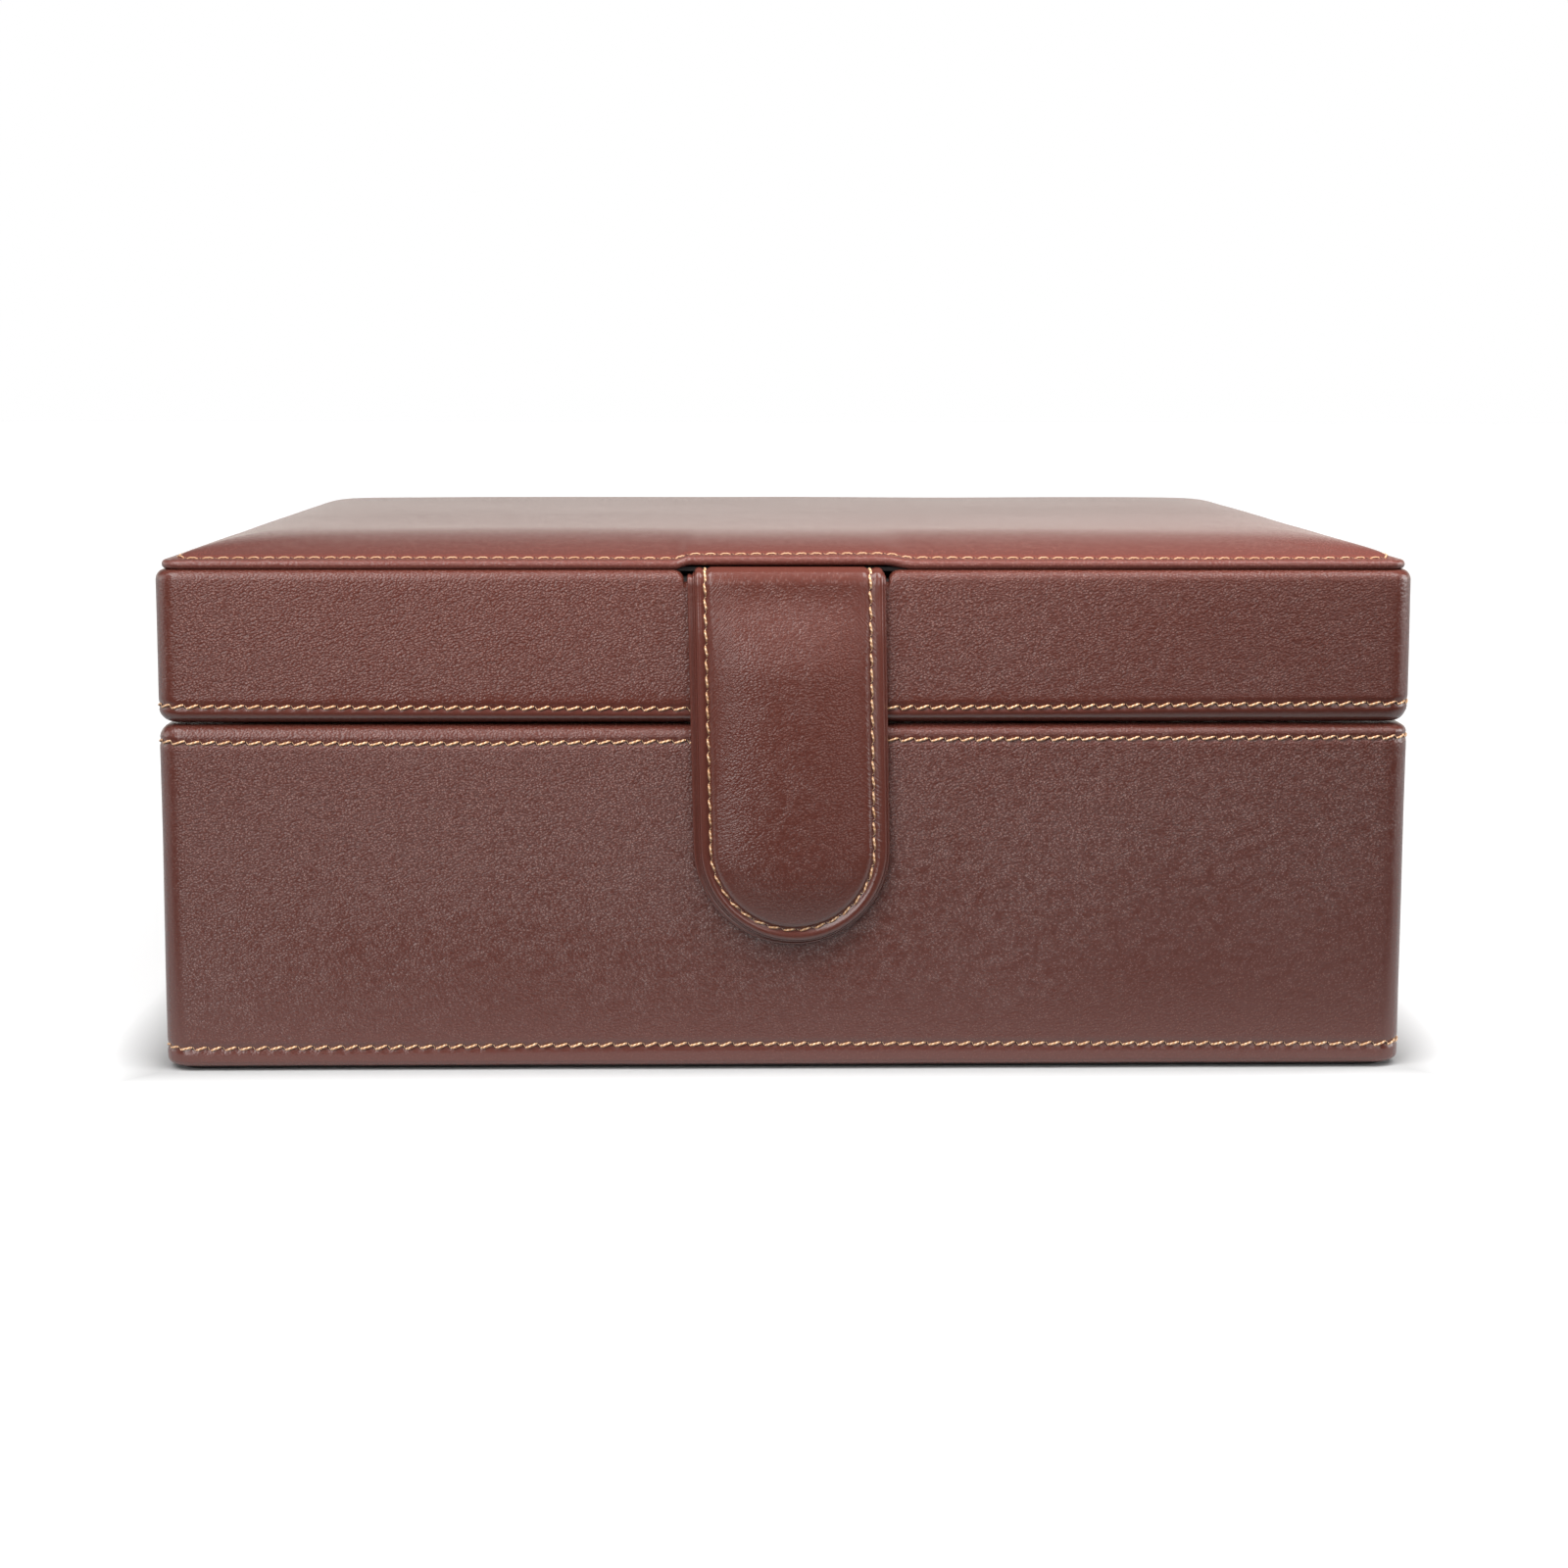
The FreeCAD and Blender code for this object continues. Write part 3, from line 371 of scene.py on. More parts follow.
def calf(name, place_socket, gloss_range, colour):
    """Pebbled calf under a clear finish. Its pebbles are longer than they are high and lean, with pores
    and slow folds. To the eye it is a dark red brown with a soft sheen that breaks into pale flecks on the
    pebbles. Where a piece marks a pull, the hide is drawn into fine creases. The flecks are painted into
    the colour as well, as pale highlights, because those of the finish alone are too fine to show. Painted
    shade darkens the colour in the pits between the pebbles and on smooth leather where the grain is weak."""
    material, tree = new_material(name)
    place = add(tree, "ShaderNodeTexCoord").outputs[place_socket]
    drift = add(tree, "ShaderNodeTexNoise", {"Vector": place, "Scale": 1 / DRIFT_SIZE, "Detail": 1.0})
    moved = add(tree, "ShaderNodeVectorMath", {0: drift.outputs["Color"], 1: (DRIFT,) * 3, 2: place},
                operation="MULTIPLY_ADD")
    cells = add(tree, "ShaderNodeMapping", {"Vector": moved, "Rotation": (0, 0, PEBBLE_TILT),
                "Scale": (PEBBLE_LONG, PEBBLE_SHORT, PEBBLE_LONG)}, vector_type="TEXTURE")
    pebble = add(tree, "ShaderNodeTexVoronoi", {"Vector": cells, "Scale": 1.0, "Smoothness": PEBBLE_SOFT},
                 feature="SMOOTH_F1")
    pores = add(tree, "ShaderNodeTexNoise", {"Vector": cells, "Scale": PORES_PER_PEBBLE, "Detail": 2.0})
    patch = add(tree, "ShaderNodeTexNoise", {"Vector": place, "Scale": 1 / PATCH_SIZE, "Detail": 1.0})
    patch = add(tree, "ShaderNodeMapRange", {"Value": patch.outputs["Fac"], "From Min": NOISE_RANGE[0],
                "From Max": NOISE_RANGE[1], "To Min": PATCH_GRAIN[0], "To Max": PATCH_GRAIN[1]})
    folds = add(tree, "ShaderNodeTexNoise", {"Vector": cells, "Scale": 1 / FOLD_PEBBLES, "Detail": 2.0})
    thick = add(tree, "ShaderNodeMapRange", {"Value": folds.outputs["Fac"], "From Min": NOISE_RANGE[0],
                "From Max": NOISE_RANGE[1], "To Min": FOLD_GRAIN[0], "To Max": FOLD_GRAIN[1]})
    patch = add(tree, "ShaderNodeMath", {0: patch, 1: thick}, operation="MULTIPLY")
    field = add(tree, "ShaderNodeAttribute", attribute_name="grain")
    strength = add(tree, "ShaderNodeMath", {0: patch, 1: field.outputs["Fac"]}, operation="MULTIPLY")
    relief = add(tree, "ShaderNodeMath", {0: pores.outputs["Fac"], 1: PORE_SHARE,
                 2: pebble.outputs["Distance"]}, operation="MULTIPLY_ADD")
    relief = add(tree, "ShaderNodeMath", {0: folds.outputs["Fac"], 1: -FOLD_SHARE, 2: relief},
                 operation="MULTIPLY_ADD")
    relief = add(tree, "ShaderNodeMath", {0: relief, 1: strength}, operation="MULTIPLY")
    grain = add(tree, "ShaderNodeBump", {"Height": relief, "Distance": PEBBLE_DEPTH}, invert=True)
    pull = add(tree, "ShaderNodeAttribute", attribute_name="pull")
    way = add(tree, "ShaderNodeAttribute", attribute_name="pull_way")
    crease = add(tree, "ShaderNodeTexNoise", {"Vector": way.outputs["Vector"], "Scale": 1.0, "Detail": 2.0})
    crease = add(tree, "ShaderNodeMath", {0: crease.outputs["Fac"], 1: pull.outputs["Fac"]},
                 operation="MULTIPLY")
    drawn = add(tree, "ShaderNodeBump", {"Height": crease, "Distance": WRINKLE_DEPTH, "Normal": grain})
    faint = add(tree, "ShaderNodeBump", {"Height": relief, "Distance": PEBBLE_DEPTH * UNDER_SHARE},
                invert=True)
    faint = add(tree, "ShaderNodeBump", {"Height": crease, "Distance": WRINKLE_DEPTH * UNDER_SHARE,
                "Normal": faint})
    # Painted shade: the colour darkens in the pits between the pebbles, and on smooth leather where the
    # grain is weak.
    depth = add(tree, "ShaderNodeMapRange", {"Value": pebble.outputs["Distance"], "From Min": PIT_RANGE[0],
                "From Max": PIT_RANGE[1]})
    shade = add(tree, "ShaderNodeMix", {"Factor": field.outputs["Fac"], "A": SMOOTH_PAINTED_SHADE, "B": depth},
                data_type="FLOAT")
    shade = add(tree, "ShaderNodeMath", {0: shade.outputs["Result"], 1: PIT_SHADE}, operation="MULTIPLY")
    tint = add(tree, "ShaderNodeMix", {"Factor": shade, "A": srgb(colour), "B": srgb(LEATHER_PAINTED_SHADE)},
               data_type="RGBA")
    # Painted highlight: the pebble tops are mixed towards a pale grey, in the strength of the grain.
    fleck_and_highlight = add(tree, "ShaderNodeMapRange", {"Value": pebble.outputs["Distance"],
                "From Min": FLECK_HIGHLIGHT_RANGE[0], "From Max": FLECK_HIGHLIGHT_RANGE[1], "To Max": FLECK_HIGHLIGHT_SHARE},
                interpolation_type="SMOOTHSTEP")
    fleck_and_highlight = add(tree, "ShaderNodeMath", {0: fleck_and_highlight, 1: strength}, operation="MULTIPLY")
    tint = add(tree, "ShaderNodeMix", {"Factor": fleck_and_highlight, "A": tint.outputs["Result"],
               "B": srgb(FLECK_HIGHLIGHT_COLOUR)}, data_type="RGBA")
    gloss = add(tree, "ShaderNodeMapRange", {"Value": pores.outputs["Fac"], "To Min": gloss_range[0],
                "To Max": gloss_range[1]})
    skin = add(tree, "ShaderNodeBsdfPrincipled", {"Base Color": tint.outputs["Result"], "Roughness": 0.6,
               "Specular IOR Level": 0.0, "Normal": faint, "Coat Weight": 1.0, "Coat IOR": 1.6,
               "Coat Roughness": gloss, "Coat Normal": drawn})
    add(tree, "ShaderNodeOutputMaterial", {"Surface": skin})
    return material


band_leather = calf("pebbled_calf", "UV", BAND_GLOSS, LEATHER_COLOUR)
CASE = (HALF_WIDTH, HALF_DEPTH, CORNER_RADIUS)
case_stations = ring_stations(*CASE, STATION_STEP)
case_along = lengths(ring(case_stations, *CASE, 0))
base_under = [(WALL, COVER_TOP), (COVER_EDGE, COVER_TOP), (COVER_EDGE, BASE_FOOT)]
base_profile = band_profile(BASE_FOOT, BASE_RIM, BASE_ROWS, FOOT_ROLL, EDGE_ROLL, base_under)
base_wrap, shape = sweep("base_wrap", base_profile, case_stations, CASE, band_leather)
# The grain is weakest at the foot, so the calf's painted shade makes the base darker towards the bottom.
base_grain = [(4.5 * MM, 0.2), (8 * MM, 0.45), (28 * MM, 0.7), (50 * MM, 1.0), (69 * MM, 1.0),
              (71.5 * MM, 0.6)]
settle_band(base_wrap, shape, case_stations, BASE_ROWS, case_along, base_grain)
clear_hinges(base_wrap, above=True)
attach(base_wrap, "base")
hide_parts("base_leather_wrap")


# Base stitching
# Two rows of waxed golden thread are sewn round the base by hand. Each stitch climbs a little to the
# right between slanted awl holes. Each hole is drawn as a short flat dark slit, painted shade for its
# hollow, with a short end of thread across it.

THREAD_RADIUS = 0.25 * MM
THREAD_RISE = 0.18 * MM
STITCH_LENGTH = 2.65 * MM
STITCH_SLANT = 0.85 * MM
STITCH_DIP = 0.5 * MM
HOLE_HALF = (0.17 * MM, 0.52 * MM)
HOLE_TURN = 0.65
HOLE_LIFT = 0.03 * MM
LINK_HALF = 0.17 * MM
LINK_PLACE = (0.1 * MM, 0.05 * MM, 0.06 * MM)
LINK_SHARE = 0.24
LINK_FALL = 0.38
HANDLE_REACH = 0.78
HANDLE_RISE = 1.45
HANDLE_LIFT = 0.33
WOBBLE = (0.03, 0.03, 0.07)
WEAR_SIZE = 2.5 * MM
PLY_DEPTH = 0.1 * MM
THREAD_TWIST = 0.85 * MM
THREAD_COLOUR = "E8C6A4"
THREAD_SHADE_AND_WEAR = "A87850"
HOLE_SHADE_COLOUR = "1E0F0C"

# Twisted linen thread under wax: pale gold, with its plies as fine slanting ridges. The grooves between
# the plies are painted darker as shade, and patches of wear are darker as well.
thread, tree = new_material("waxed_thread")
along = add(tree, "ShaderNodeAttribute", attribute_name="thread_along")
around = add(tree, "ShaderNodeAttribute", attribute_name="thread_around")
turn = add(tree, "ShaderNodeMath", {0: along.outputs["Fac"], 1: 2 * math.pi / THREAD_TWIST},
           operation="MULTIPLY")
turn = add(tree, "ShaderNodeMath", {0: around.outputs["Fac"], 1: 2 * math.pi, 2: turn},
           operation="MULTIPLY_ADD")
plies = add(tree, "ShaderNodeMath", {0: turn}, operation="SINE")
plies = add(tree, "ShaderNodeMapRange", {"Value": plies, "From Min": -1.0})
place = add(tree, "ShaderNodeTexCoord")
wear = add(tree, "ShaderNodeTexNoise", {"Vector": place.outputs["Object"], "Scale": 1 / WEAR_SIZE})
mixed = add(tree, "ShaderNodeMath", {0: plies, 1: wear.outputs["Fac"]}, operation="MULTIPLY")
mixed = add(tree, "ShaderNodeMapRange", {"Value": mixed, "To Max": 1.6})
# Painted shade between the plies, mixed with patches of wear.
tint = add(tree, "ShaderNodeMix", {"Factor": mixed, "A": srgb(THREAD_SHADE_AND_WEAR), "B": srgb(THREAD_COLOUR)},
           data_type="RGBA")
ridge = add(tree, "ShaderNodeBump", {"Height": plies, "Distance": PLY_DEPTH})
skin = add(tree, "ShaderNodeBsdfPrincipled", {"Base Color": tint.outputs["Result"], "Roughness": 0.5,
           "Normal": ridge})
add(tree, "ShaderNodeOutputMaterial", {"Surface": skin})

# Painted shade for the awl holes: a flat dark slit without shine, where each hole's hollow lies in shade.
awl_hole_shade, tree = new_material("awl_hole_shade")
skin = add(tree, "ShaderNodeBsdfPrincipled", {"Base Color": srgb(HOLE_SHADE_COLOUR), "Roughness": 0.9})
add(tree, "ShaderNodeOutputMaterial", {"Surface": skin})

sewing = bpy.data.node_groups.new("saddle_stitch", "GeometryNodeTree")
SEWING_INPUTS = {"Row": "Geometry", "Stitches": "Int", "Length": "Float", "Slant": "Float", "Rise": "Float",
                 "Radius": "Float", "Seed": "Int", "Thread": "Material", "Hole": "Material"}
for name, kind in SEWING_INPUTS.items():
    sewing.interface.new_socket(name, in_out="INPUT", socket_type="NodeSocket" + kind)
sewing.interface.new_socket("Sewn", in_out="OUTPUT", socket_type="NodeSocketGeometry")
given = add(sewing, "NodeGroupInput").outputs
row = add(sewing, "GeometryNodeMeshToCurve", {"Mesh": given["Row"]})
twice = add(sewing, "ShaderNodeMath", {0: given["Stitches"], 1: 2.0}, operation="MULTIPLY")
row = add(sewing, "GeometryNodeResampleCurve", {"Curve": row, "Count": twice})
order = add(sewing, "GeometryNodeInputIndex")
odd = add(sewing, "ShaderNodeMath", {0: order, 1: 2.0}, operation="MODULO")
even = add(sewing, "ShaderNodeMath", {0: 1.0, 1: odd}, operation="SUBTRACT")
tangent = add(sewing, "GeometryNodeInputTangent")
face_out = add(sewing, "GeometryNodeInputNamedAttribute", {"Name": "face_out"}, data_type="FLOAT_VECTOR")
stand = add(sewing, "FunctionNodeAxesToRotation", {"Primary Axis": tangent, "Secondary Axis": face_out},
            primary_axis="X", secondary_axis="Z")
wobble = add(sewing, "FunctionNodeRandomValue", {"Min": tuple(-turn for turn in WOBBLE), "Max": WOBBLE,
             "Seed": given["Seed"]}, data_type="FLOAT_VECTOR")
wobble = add(sewing, "FunctionNodeEulerToRotation", {0: wobble.outputs["Value"]})
stand_free = add(sewing, "FunctionNodeRotateRotation", {"Rotation": stand, "Rotate By": wobble},
                 rotation_space="LOCAL")
ends = {}
for name, side in (("Start", -0.5), ("End", 0.5)):
    x = add(sewing, "ShaderNodeMath", {0: given["Length"], 1: side}, operation="MULTIPLY")
    y = add(sewing, "ShaderNodeMath", {0: given["Slant"], 1: side}, operation="MULTIPLY")
    ends[name] = add(sewing, "ShaderNodeCombineXYZ", {"X": x, "Y": y, "Z": -STITCH_DIP})
    high = add(sewing, "ShaderNodeMath", {0: given["Rise"], 1: HANDLE_RISE, 2: STITCH_DIP * HANDLE_LIFT},
               operation="MULTIPLY_ADD")
    x = add(sewing, "ShaderNodeMath", {0: x, 1: HANDLE_REACH}, operation="MULTIPLY")
    y = add(sewing, "ShaderNodeMath", {0: y, 1: HANDLE_REACH}, operation="MULTIPLY")
    ends[name + " Handle"] = add(sewing, "ShaderNodeCombineXYZ", {"X": x, "Y": y, "Z": high})
arc = add(sewing, "GeometryNodeCurvePrimitiveBezierSegment", {"Resolution": 7, **ends})
spline = add(sewing, "GeometryNodeSplineParameter")
arc = add(sewing, "GeometryNodeStoreNamedAttribute", {"Geometry": arc, "Name": "thread_along",
          "Value": spline.outputs["Length"]}, data_type="FLOAT", domain="POINT")
loop = add(sewing, "GeometryNodeCurvePrimitiveCircle", {"Resolution": 6, "Radius": given["Radius"]})
loop = add(sewing, "GeometryNodeStoreNamedAttribute", {"Geometry": loop, "Name": "thread_around",
           "Value": spline.outputs["Factor"]}, data_type="FLOAT", domain="POINT")
strand = add(sewing, "GeometryNodeCurveToMesh", {"Curve": arc, "Profile Curve": loop, "Fill Caps": True})
sewn = add(sewing, "GeometryNodeInstanceOnPoints", {"Points": row, "Selection": even, "Instance": strand,
           "Rotation": stand_free})
sewn = add(sewing, "GeometryNodeRealizeInstances", {"Geometry": sewn})
sewn = add(sewing, "GeometryNodeSetShadeSmooth", {"Geometry": sewn})
sewn = add(sewing, "GeometryNodeSetMaterial", {"Geometry": sewn, "Material": given["Thread"]})
# Painted shade: a thin dark disc lies on the leather at each hole.
slit = add(sewing, "GeometryNodeMeshCylinder", {"Vertices": 8, "Radius": 1.0, "Depth": 2 * HOLE_LIFT},
           fill_type="NGON")
slit = add(sewing, "GeometryNodeTransform", {"Geometry": slit.outputs["Mesh"],
           "Rotation": (0, 0, HOLE_TURN), "Scale": (*HOLE_HALF, 1)})
slits = add(sewing, "GeometryNodeInstanceOnPoints", {"Points": row, "Selection": odd, "Instance": slit,
            "Rotation": stand})
slits = add(sewing, "GeometryNodeRealizeInstances", {"Geometry": slits})
slits = add(sewing, "GeometryNodeSetMaterial", {"Geometry": slits, "Material": given["Hole"]})
tips = {}
for name, side in (("Start", -1), ("End", 1)):
    y = add(sewing, "ShaderNodeMath", {0: given["Slant"], 1: -LINK_FALL * side}, operation="MULTIPLY")
    tips[name] = add(sewing, "ShaderNodeCombineXYZ", {"X": side * LINK_HALF, "Y": y})
link = add(sewing, "GeometryNodeCurvePrimitiveLine", tips)
thin = add(sewing, "ShaderNodeMath", {0: given["Radius"], 1: LINK_SHARE}, operation="MULTIPLY")
loop = add(sewing, "GeometryNodeCurvePrimitiveCircle", {"Resolution": 5, "Radius": thin})
link = add(sewing, "GeometryNodeCurveToMesh", {"Curve": link, "Profile Curve": loop, "Fill Caps": True})
link = add(sewing, "GeometryNodeTransform", {"Geometry": link, "Translation": LINK_PLACE})
links = add(sewing, "GeometryNodeInstanceOnPoints", {"Points": row, "Selection": odd, "Instance": link,
            "Rotation": stand_free})
links = add(sewing, "GeometryNodeRealizeInstances", {"Geometry": links})
links = add(sewing, "GeometryNodeSetMaterial", {"Geometry": links, "Material": given["Thread"]})
both = add(sewing, "GeometryNodeJoinGeometry", {"Geometry": sewn})
sewing.links.new(slits.outputs[0], both.inputs[0])
sewing.links.new(links.outputs[0], both.inputs[0])
add(sewing, "NodeGroupOutput", {"Sewn": both})


def bake(obj, group, values):
    """Runs a node group on an object and leaves a plain mesh of the result in its place."""
    modifier = obj.modifiers.new("nodes", "NODES")
    modifier.node_group = group
    keys = {item.name: item.identifier for item in group.interface.items_tree if item.in_out == "INPUT"}
    for name, value in values.items():
        modifier[keys[name]] = value
    made = bpy.data.meshes.new_from_object(obj.evaluated_get(bpy.context.evaluated_depsgraph_get()))
    obj.modifiers.remove(modifier)
    old = obj.data
    obj.data = made
    bpy.data.meshes.remove(old)


def sew(name, rows, outs, stitches, closed, seed, slant=STITCH_SLANT, radius=THREAD_RADIUS,
        length=STITCH_LENGTH):
    """Stitches along rows of points, standing out of the leather the way it faces."""
    points = np.concatenate(rows)
    edges = []
    first = 0
    for line in rows:
        last = first + len(line)
        edges += [(at, at + 1) for at in range(first, last - 1)]
        edges += [(last - 1, first)] if closed else []
        first = last
    mesh = bpy.data.meshes.new(name)
    mesh.from_pydata(points.tolist(), edges, [])
    obj = bpy.data.objects.new(name, mesh)
    bpy.context.scene.collection.objects.link(obj)
    mark(obj, "face_out", np.concatenate(outs), "FLOAT_VECTOR")
    bake(obj, sewing, {"Stitches": stitches, "Length": length, "Slant": slant, "Rise": THREAD_RISE,
                       "Radius": radius, "Seed": seed, "Thread": thread, "Hole": awl_hole_shade})
    return obj


def band_rows(rows, stations):
    """The lines of a band's stitch rows at the bottom of their grooves, and which way it faces there."""
    flat = ring(stations, *CASE, GROOVE_DEPTH)
    lines = [np.column_stack([flat, height + stray(flat, line)]) for height, line in rows]
    lean = np.column_stack([stations[1], np.zeros(len(flat))])
    return lines, [lean] * len(rows)


case_stitches = stitch_count(case_along[-1])
base_stitching = sew("base_stitching", *band_rows(BASE_ROWS, case_stations), case_stitches, True, seed=3)
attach(base_stitching, "base")


# Bottom cover
# A panel of dark split leather is glued under the base, set in from the wrap all round. It is the
# flat face that the case stands on, drawn almost black, which is partly painted shade for the shade under
# the case. The lid's front and top boards that show in the tab's recess, and the panel's backing, are as
# dark: there it is painted shade, so that the gaps read dark.

COVER_AND_SHADE_COLOUR = "150F0E"
COVER_NAP = 0.8 * MM
COVER_RELIEF = 0.1 * MM

# Split leather, stained through: almost black, with a dull nap. On the lid's boards and the panel's
# backing the same near black is painted shade, and on the cover it is partly so.
dark_leather_and_shade, tree = new_material("dark_leather_and_shade")
place = add(tree, "ShaderNodeTexCoord")
nap = add(tree, "ShaderNodeTexNoise", {"Vector": place.outputs["Object"], "Scale": 1 / COVER_NAP,
          "Detail": 2.0})
relief = add(tree, "ShaderNodeBump", {"Height": nap.outputs["Fac"], "Distance": COVER_RELIEF})
skin = add(tree, "ShaderNodeBsdfPrincipled", {"Base Color": srgb(COVER_AND_SHADE_COLOUR), "Roughness": 0.7,
           "Normal": relief})
add(tree, "ShaderNodeOutputMaterial", {"Surface": skin})
coat(dark_leather_and_shade, "base_bottom_cover", "top_panel_backing", "lid_front_board", "lid_top_board")


# Base lining and dividers
# The inside is lined with sand-coloured suede glued to the boards. The floor is a thin foam pad under
# the same suede, and the dividers are boards wrapped in it.

SUEDE_COLOUR = "C2A583"
SUEDE_SHADE = "AE9174"
INNER_HALF = (123.7 * MM, 96.2 * MM)
FLOOR_BOARD_TOP = 7.0 * MM
FLOOR_PAD_TOP = 9.0 * MM
FLOOR_STEP = 2.5 * MM
FLOOR_EDGE = 5 * MM
FLOOR_DROP = 0.5 * MM
PAD_WAVE = 20 * MM
PAD_WAVE_DEPTH = 0.12 * MM
PAD_SINK = 0.1 * MM
SUEDE_PATCH = 22 * MM
SUEDE_NAP = 0.5 * MM
SUEDE_RELIEF = 0.15 * MM

# Brushed suede: matt, with paler and darker patches where the nap lies over. The nap is drawn coarse
# enough to show.
suede, tree = new_material("sand_suede")
place = add(tree, "ShaderNodeTexCoord")
brushed = add(tree, "ShaderNodeTexNoise", {"Vector": place.outputs["Object"], "Scale": 1 / SUEDE_PATCH,
              "Detail": 3.0, "Distortion": 0.8})
nap = add(tree, "ShaderNodeTexNoise", {"Vector": place.outputs["Object"], "Scale": 1 / SUEDE_NAP,
          "Detail": 2.0})
patch = add(tree, "ShaderNodeMapRange", {"Value": brushed.outputs["Fac"], "From Min": 0.2, "From Max": 0.8})
tint = add(tree, "ShaderNodeMix", {"Factor": patch, "A": srgb(SUEDE_SHADE), "B": srgb(SUEDE_COLOUR)},
           data_type="RGBA")
relief = add(tree, "ShaderNodeBump", {"Height": nap.outputs["Fac"], "Distance": SUEDE_RELIEF})
skin = add(tree, "ShaderNodeBsdfPrincipled", {"Base Color": tint.outputs["Result"], "Roughness": 0.95,
           "Normal": relief, "Specular IOR Level": 0.15, "Sheen Weight": 0.35, "Sheen Roughness": 0.5})
add(tree, "ShaderNodeOutputMaterial", {"Surface": skin})
coat(suede, "base_front_lining", "base_back_lining", "base_left_lining", "base_right_lining")
coat(suede, "divider_long", "divider_cross", "divider_short")


def pillow(name, low, high, foot, top, step, edge, drop, material):
    """A closed pad with a flat underside. Its top falls by drop towards its edges, over a width of edge."""
    columns = np.linspace(low[0], high[0], round((high[0] - low[0]) / step) + 1)
    rows = np.linspace(low[1], high[1], round((high[1] - low[1]) / step) + 1)
    x, y = np.meshgrid(columns, rows)
    near = np.minimum(np.minimum(x - low[0], high[0] - x), np.minimum(y - low[1], high[1] - y))
    fall = drop * (1 - np.clip(near / edge, 0, 1)) ** 2
    spots = zip(x.ravel(), y.ravel(), x.ravel())
    waves = np.array([ripple(spot, PAD_WAVE, PAD_WAVE_DEPTH) for spot in spots]).reshape(x.shape)
    z = top - fall + waves - PAD_SINK
    upper = np.dstack([x, y, z])
    lower = np.dstack([x, y, np.full(x.shape, foot)])
    number = np.arange(x.size).reshape(x.shape)
    rim = np.concatenate([number[0, :-1], number[:-1, -1], number[-1, :0:-1], number[:0:-1, 0]])
    closed = np.append(rim, rim[0])
    walls = quads(np.vstack([closed + x.size, closed]))
    faces = np.concatenate([quads(number), quads(number)[:, ::-1] + x.size, walls])
    return piece(name, np.concatenate([upper.reshape(-1, 3), lower.reshape(-1, 3)]), faces, material)


floor_pad = pillow("base_floor_pad", (-INNER_HALF[0], -INNER_HALF[1]), INNER_HALF, FLOOR_BOARD_TOP,
                   FLOOR_PAD_TOP, FLOOR_STEP, FLOOR_EDGE, FLOOR_DROP, suede)
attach(floor_pad, "base")
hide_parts("base_floor_lining")


# Ring bay
# A suede block fills the foot of the left bay, and eleven foam rolls in suede stand on it side by side.
# Rings are pushed down into the clefts between the rolls.

ROLL_NAMES = [f"ring_roll_{at}" for at in range(1, 12)]
ROLL_STEPS = 24
ROLL_ENDS = 3.0 * MM
ROLL_SQUARE = 0.62
ROLL_END_SIZE = 0.55
END_RINGS = 7
MIDDLE_RINGS = 14
ROLL_WAVE = 9 * MM
ROLL_WAVE_DEPTH = 0.25 * MM
coat(suede, "ring_bay_block")


def roll(name, low, high):
    """One foam roll: a full round top over straight sides, with its ends folded in."""
    half = (Vector(high) - Vector(low)) / 2
    middle = (Vector(high) + Vector(low)) / 2
    turns = np.linspace(0, 2 * math.pi, ROLL_STEPS, endpoint=False)
    fold = np.linspace(0, math.pi / 2, END_RINGS)
    shares = np.concatenate([np.linspace(0, 1, END_RINGS)[:-1], np.ones(MIDDLE_RINGS),
                             np.linspace(1, 0, END_RINGS)[1:]])
    spots = np.concatenate([-half[0] + ROLL_ENDS * (1 - np.cos(fold[:-1])),
                            np.linspace(-half[0] + ROLL_ENDS, half[0] - ROLL_ENDS, MIDDLE_RINGS),
                            half[0] - ROLL_ENDS * (1 - np.sin(fold[1:] + math.pi / 2))])
    points = []
    for spot, share in zip(spots, shares):
        size = ROLL_END_SIZE + (1 - ROLL_END_SIZE) * math.sqrt(1 - (1 - share) ** 2)
        for t in turns:
            wide = math.copysign(abs(math.cos(t)) ** ROLL_SQUARE, math.cos(t))
            tall = math.copysign(abs(math.sin(t)) ** ROLL_SQUARE, math.sin(t))
            sag = min(ripple((spot, middle[1], t), ROLL_WAVE, ROLL_WAVE_DEPTH), 0)
            points.append((middle[0] + spot, middle[1] + half[1] * size * wide,
                          middle[2] + half[2] * size * tall + sag))
    number = np.arange(len(points)).reshape(len(spots), ROLL_STEPS)
    faces = [*quads(np.hstack([number, number[:, :1]])), number[0, ::-1], number[-1]]
    return piece(name, points, faces, suede)


for name in ROLL_NAMES:
    cushion = roll(name.replace("roll", "cushion"), *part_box(name))
    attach(cushion, "base")
    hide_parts(name)


# Magnet and keeper
# A steel disc is let into the front board of the base and holds the magnet in the tab. Leather covers
# both, so neither shows. The hinge pins are of the same plain steel.

STEEL_COLOUR = "B9BABD"
SCUFF_SIZE = 2 * MM

